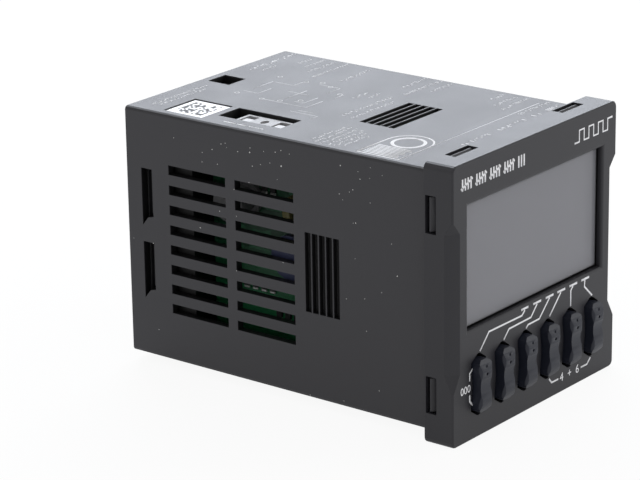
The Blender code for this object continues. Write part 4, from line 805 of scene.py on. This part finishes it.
# Terminal screws and contact plates: nickel-plated steel, one of each in every bay.
# The plates are stamped, and a slotted screw goes through each.

plating = Finish("nickel plating", Metallic=1.0)
scuffs = plating.noise(0.8 * MM, 4)
plating.feed("Base Color", plating.between((0.46, 0.45, 0.42), (0.66, 0.65, 0.62), scuffs))
plating.feed("Roughness", 0.24 + scuffs * 0.22)
plating.relief(scuffs, 0.01 * MM)
for number in range(1, 13):
    dress("terminal_plate_%d" % number, plating, THIN_EDGE)
    dress("terminal_screw_%d" % number, plating, SOFT_EDGE)

# Studio: a pale paper floor, an even sky, and two soft boxes.
# One box stands behind and above for the top's sheen, and one in front on the right.

FLOOR_RADIUS = 3.0
FLOOR_WHITE = 0.92
GLOSSY_SHARE = 0.6
floor_shape = bmesh.new()
bmesh.ops.create_circle(floor_shape, cap_ends=True, segments=64, radius=FLOOR_RADIUS)
floor_mesh = bpy.data.meshes.new("studio_floor")
floor_shape.to_mesh(floor_mesh)
floor_shape.free()
floor = bpy.data.objects.new("studio_floor", floor_mesh)
bpy.context.scene.collection.objects.link(floor)
paper = Finish("studio paper", Base_Color=(0.86, 0.86, 0.86), Roughness=0.9)
rays = paper.tree.nodes.new("ShaderNodeLightPath")
camera_rays = Value(paper, rays.outputs["Is Camera Ray"])
glossy_rays = Value(paper, rays.outputs["Is Glossy Ray"])
clear_rays = Value(paper, rays.outputs["Is Transmission Ray"])
seen = camera_rays + glossy_rays * GLOSSY_SHARE + clear_rays
glow = paper.node("ShaderNodeEmission", None, {"Color": (1.0, 1.0, 1.0), "Strength": 1.0})
blend = paper.node("ShaderNodeMixShader", None, {
    0: seen * FLOOR_WHITE, 1: Value(paper, paper.shader.outputs[0]), 2: glow})
paper.tree.links.new(blend.socket, paper.tree.nodes["Material Output"].inputs["Surface"])
floor_mesh.materials.append(paper.material)

# The sky lights at SKY_LEVEL and looks white to the camera.
SKY_LEVEL = 0.75
sky = bpy.data.worlds.new("studio sky")
sky.use_nodes = True
backdrop = sky.node_tree.nodes["Background"]
backdrop.inputs["Color"].default_value = (1.0, 1.0, 1.0, 1)
view_rays = sky.node_tree.nodes.new("ShaderNodeLightPath")
level = sky.node_tree.nodes.new("ShaderNodeMapRange")
level.inputs["To Min"].default_value = SKY_LEVEL
level.inputs["To Max"].default_value = 1.0
sky.node_tree.links.new(view_rays.outputs["Is Camera Ray"], level.inputs["Value"])
sky.node_tree.links.new(level.outputs["Result"], backdrop.inputs["Strength"])
bpy.context.scene.world = sky


def soft_box(name, place, target, size, radiance, colour=(1.0, 1.0, 1.0)):
    lamp = bpy.data.lights.new(name, "AREA")
    lamp.color = colour
    lamp.shape = "RECTANGLE"
    lamp.size, lamp.size_y = size
    lamp.energy = radiance * math.pi * size[0] * size[1]
    holder = bpy.data.objects.new(name, lamp)
    bpy.context.scene.collection.objects.link(holder)
    holder.location = place
    holder.rotation_euler = (Vector(target) - Vector(place)).to_track_quat("-Z", "Y").to_euler()


soft_box("soft box behind", (0.62, 0.46, 0.46), (0, 0, 0.03), (0.8, 0.6), 4.7, (0.86, 0.91, 1.0))
soft_box("soft box front right", (0.6, -0.62, 0.35), (0, 0, 0.02), (0.45, 0.45), 2.3)

# Camera: the photograph's view of the left side, the top and the front.
# Its distance in front is measured from the bezel's front face.

CAMERA_LENS = 167.7554
CAMERA_PLACE = (-0.3899278, FRONT_Y - 0.2609098, 0.1869786)
CAMERA_TURN = (71.463311, 0.856312, -52.110775)
camera_data = bpy.data.cameras.new("camera")
camera_data.lens = CAMERA_LENS
camera_data.sensor_width = 36
camera_data.sensor_fit = "HORIZONTAL"
camera_data.clip_start = 0.01
camera_data.clip_end = 100
camera = bpy.data.objects.new("camera", camera_data)
bpy.context.scene.collection.objects.link(camera)
camera.location = CAMERA_PLACE
camera.rotation_euler = [math.radians(angle) for angle in CAMERA_TURN]
bpy.context.scene.camera = camera
bpy.context.scene.view_settings.view_transform = "Standard"
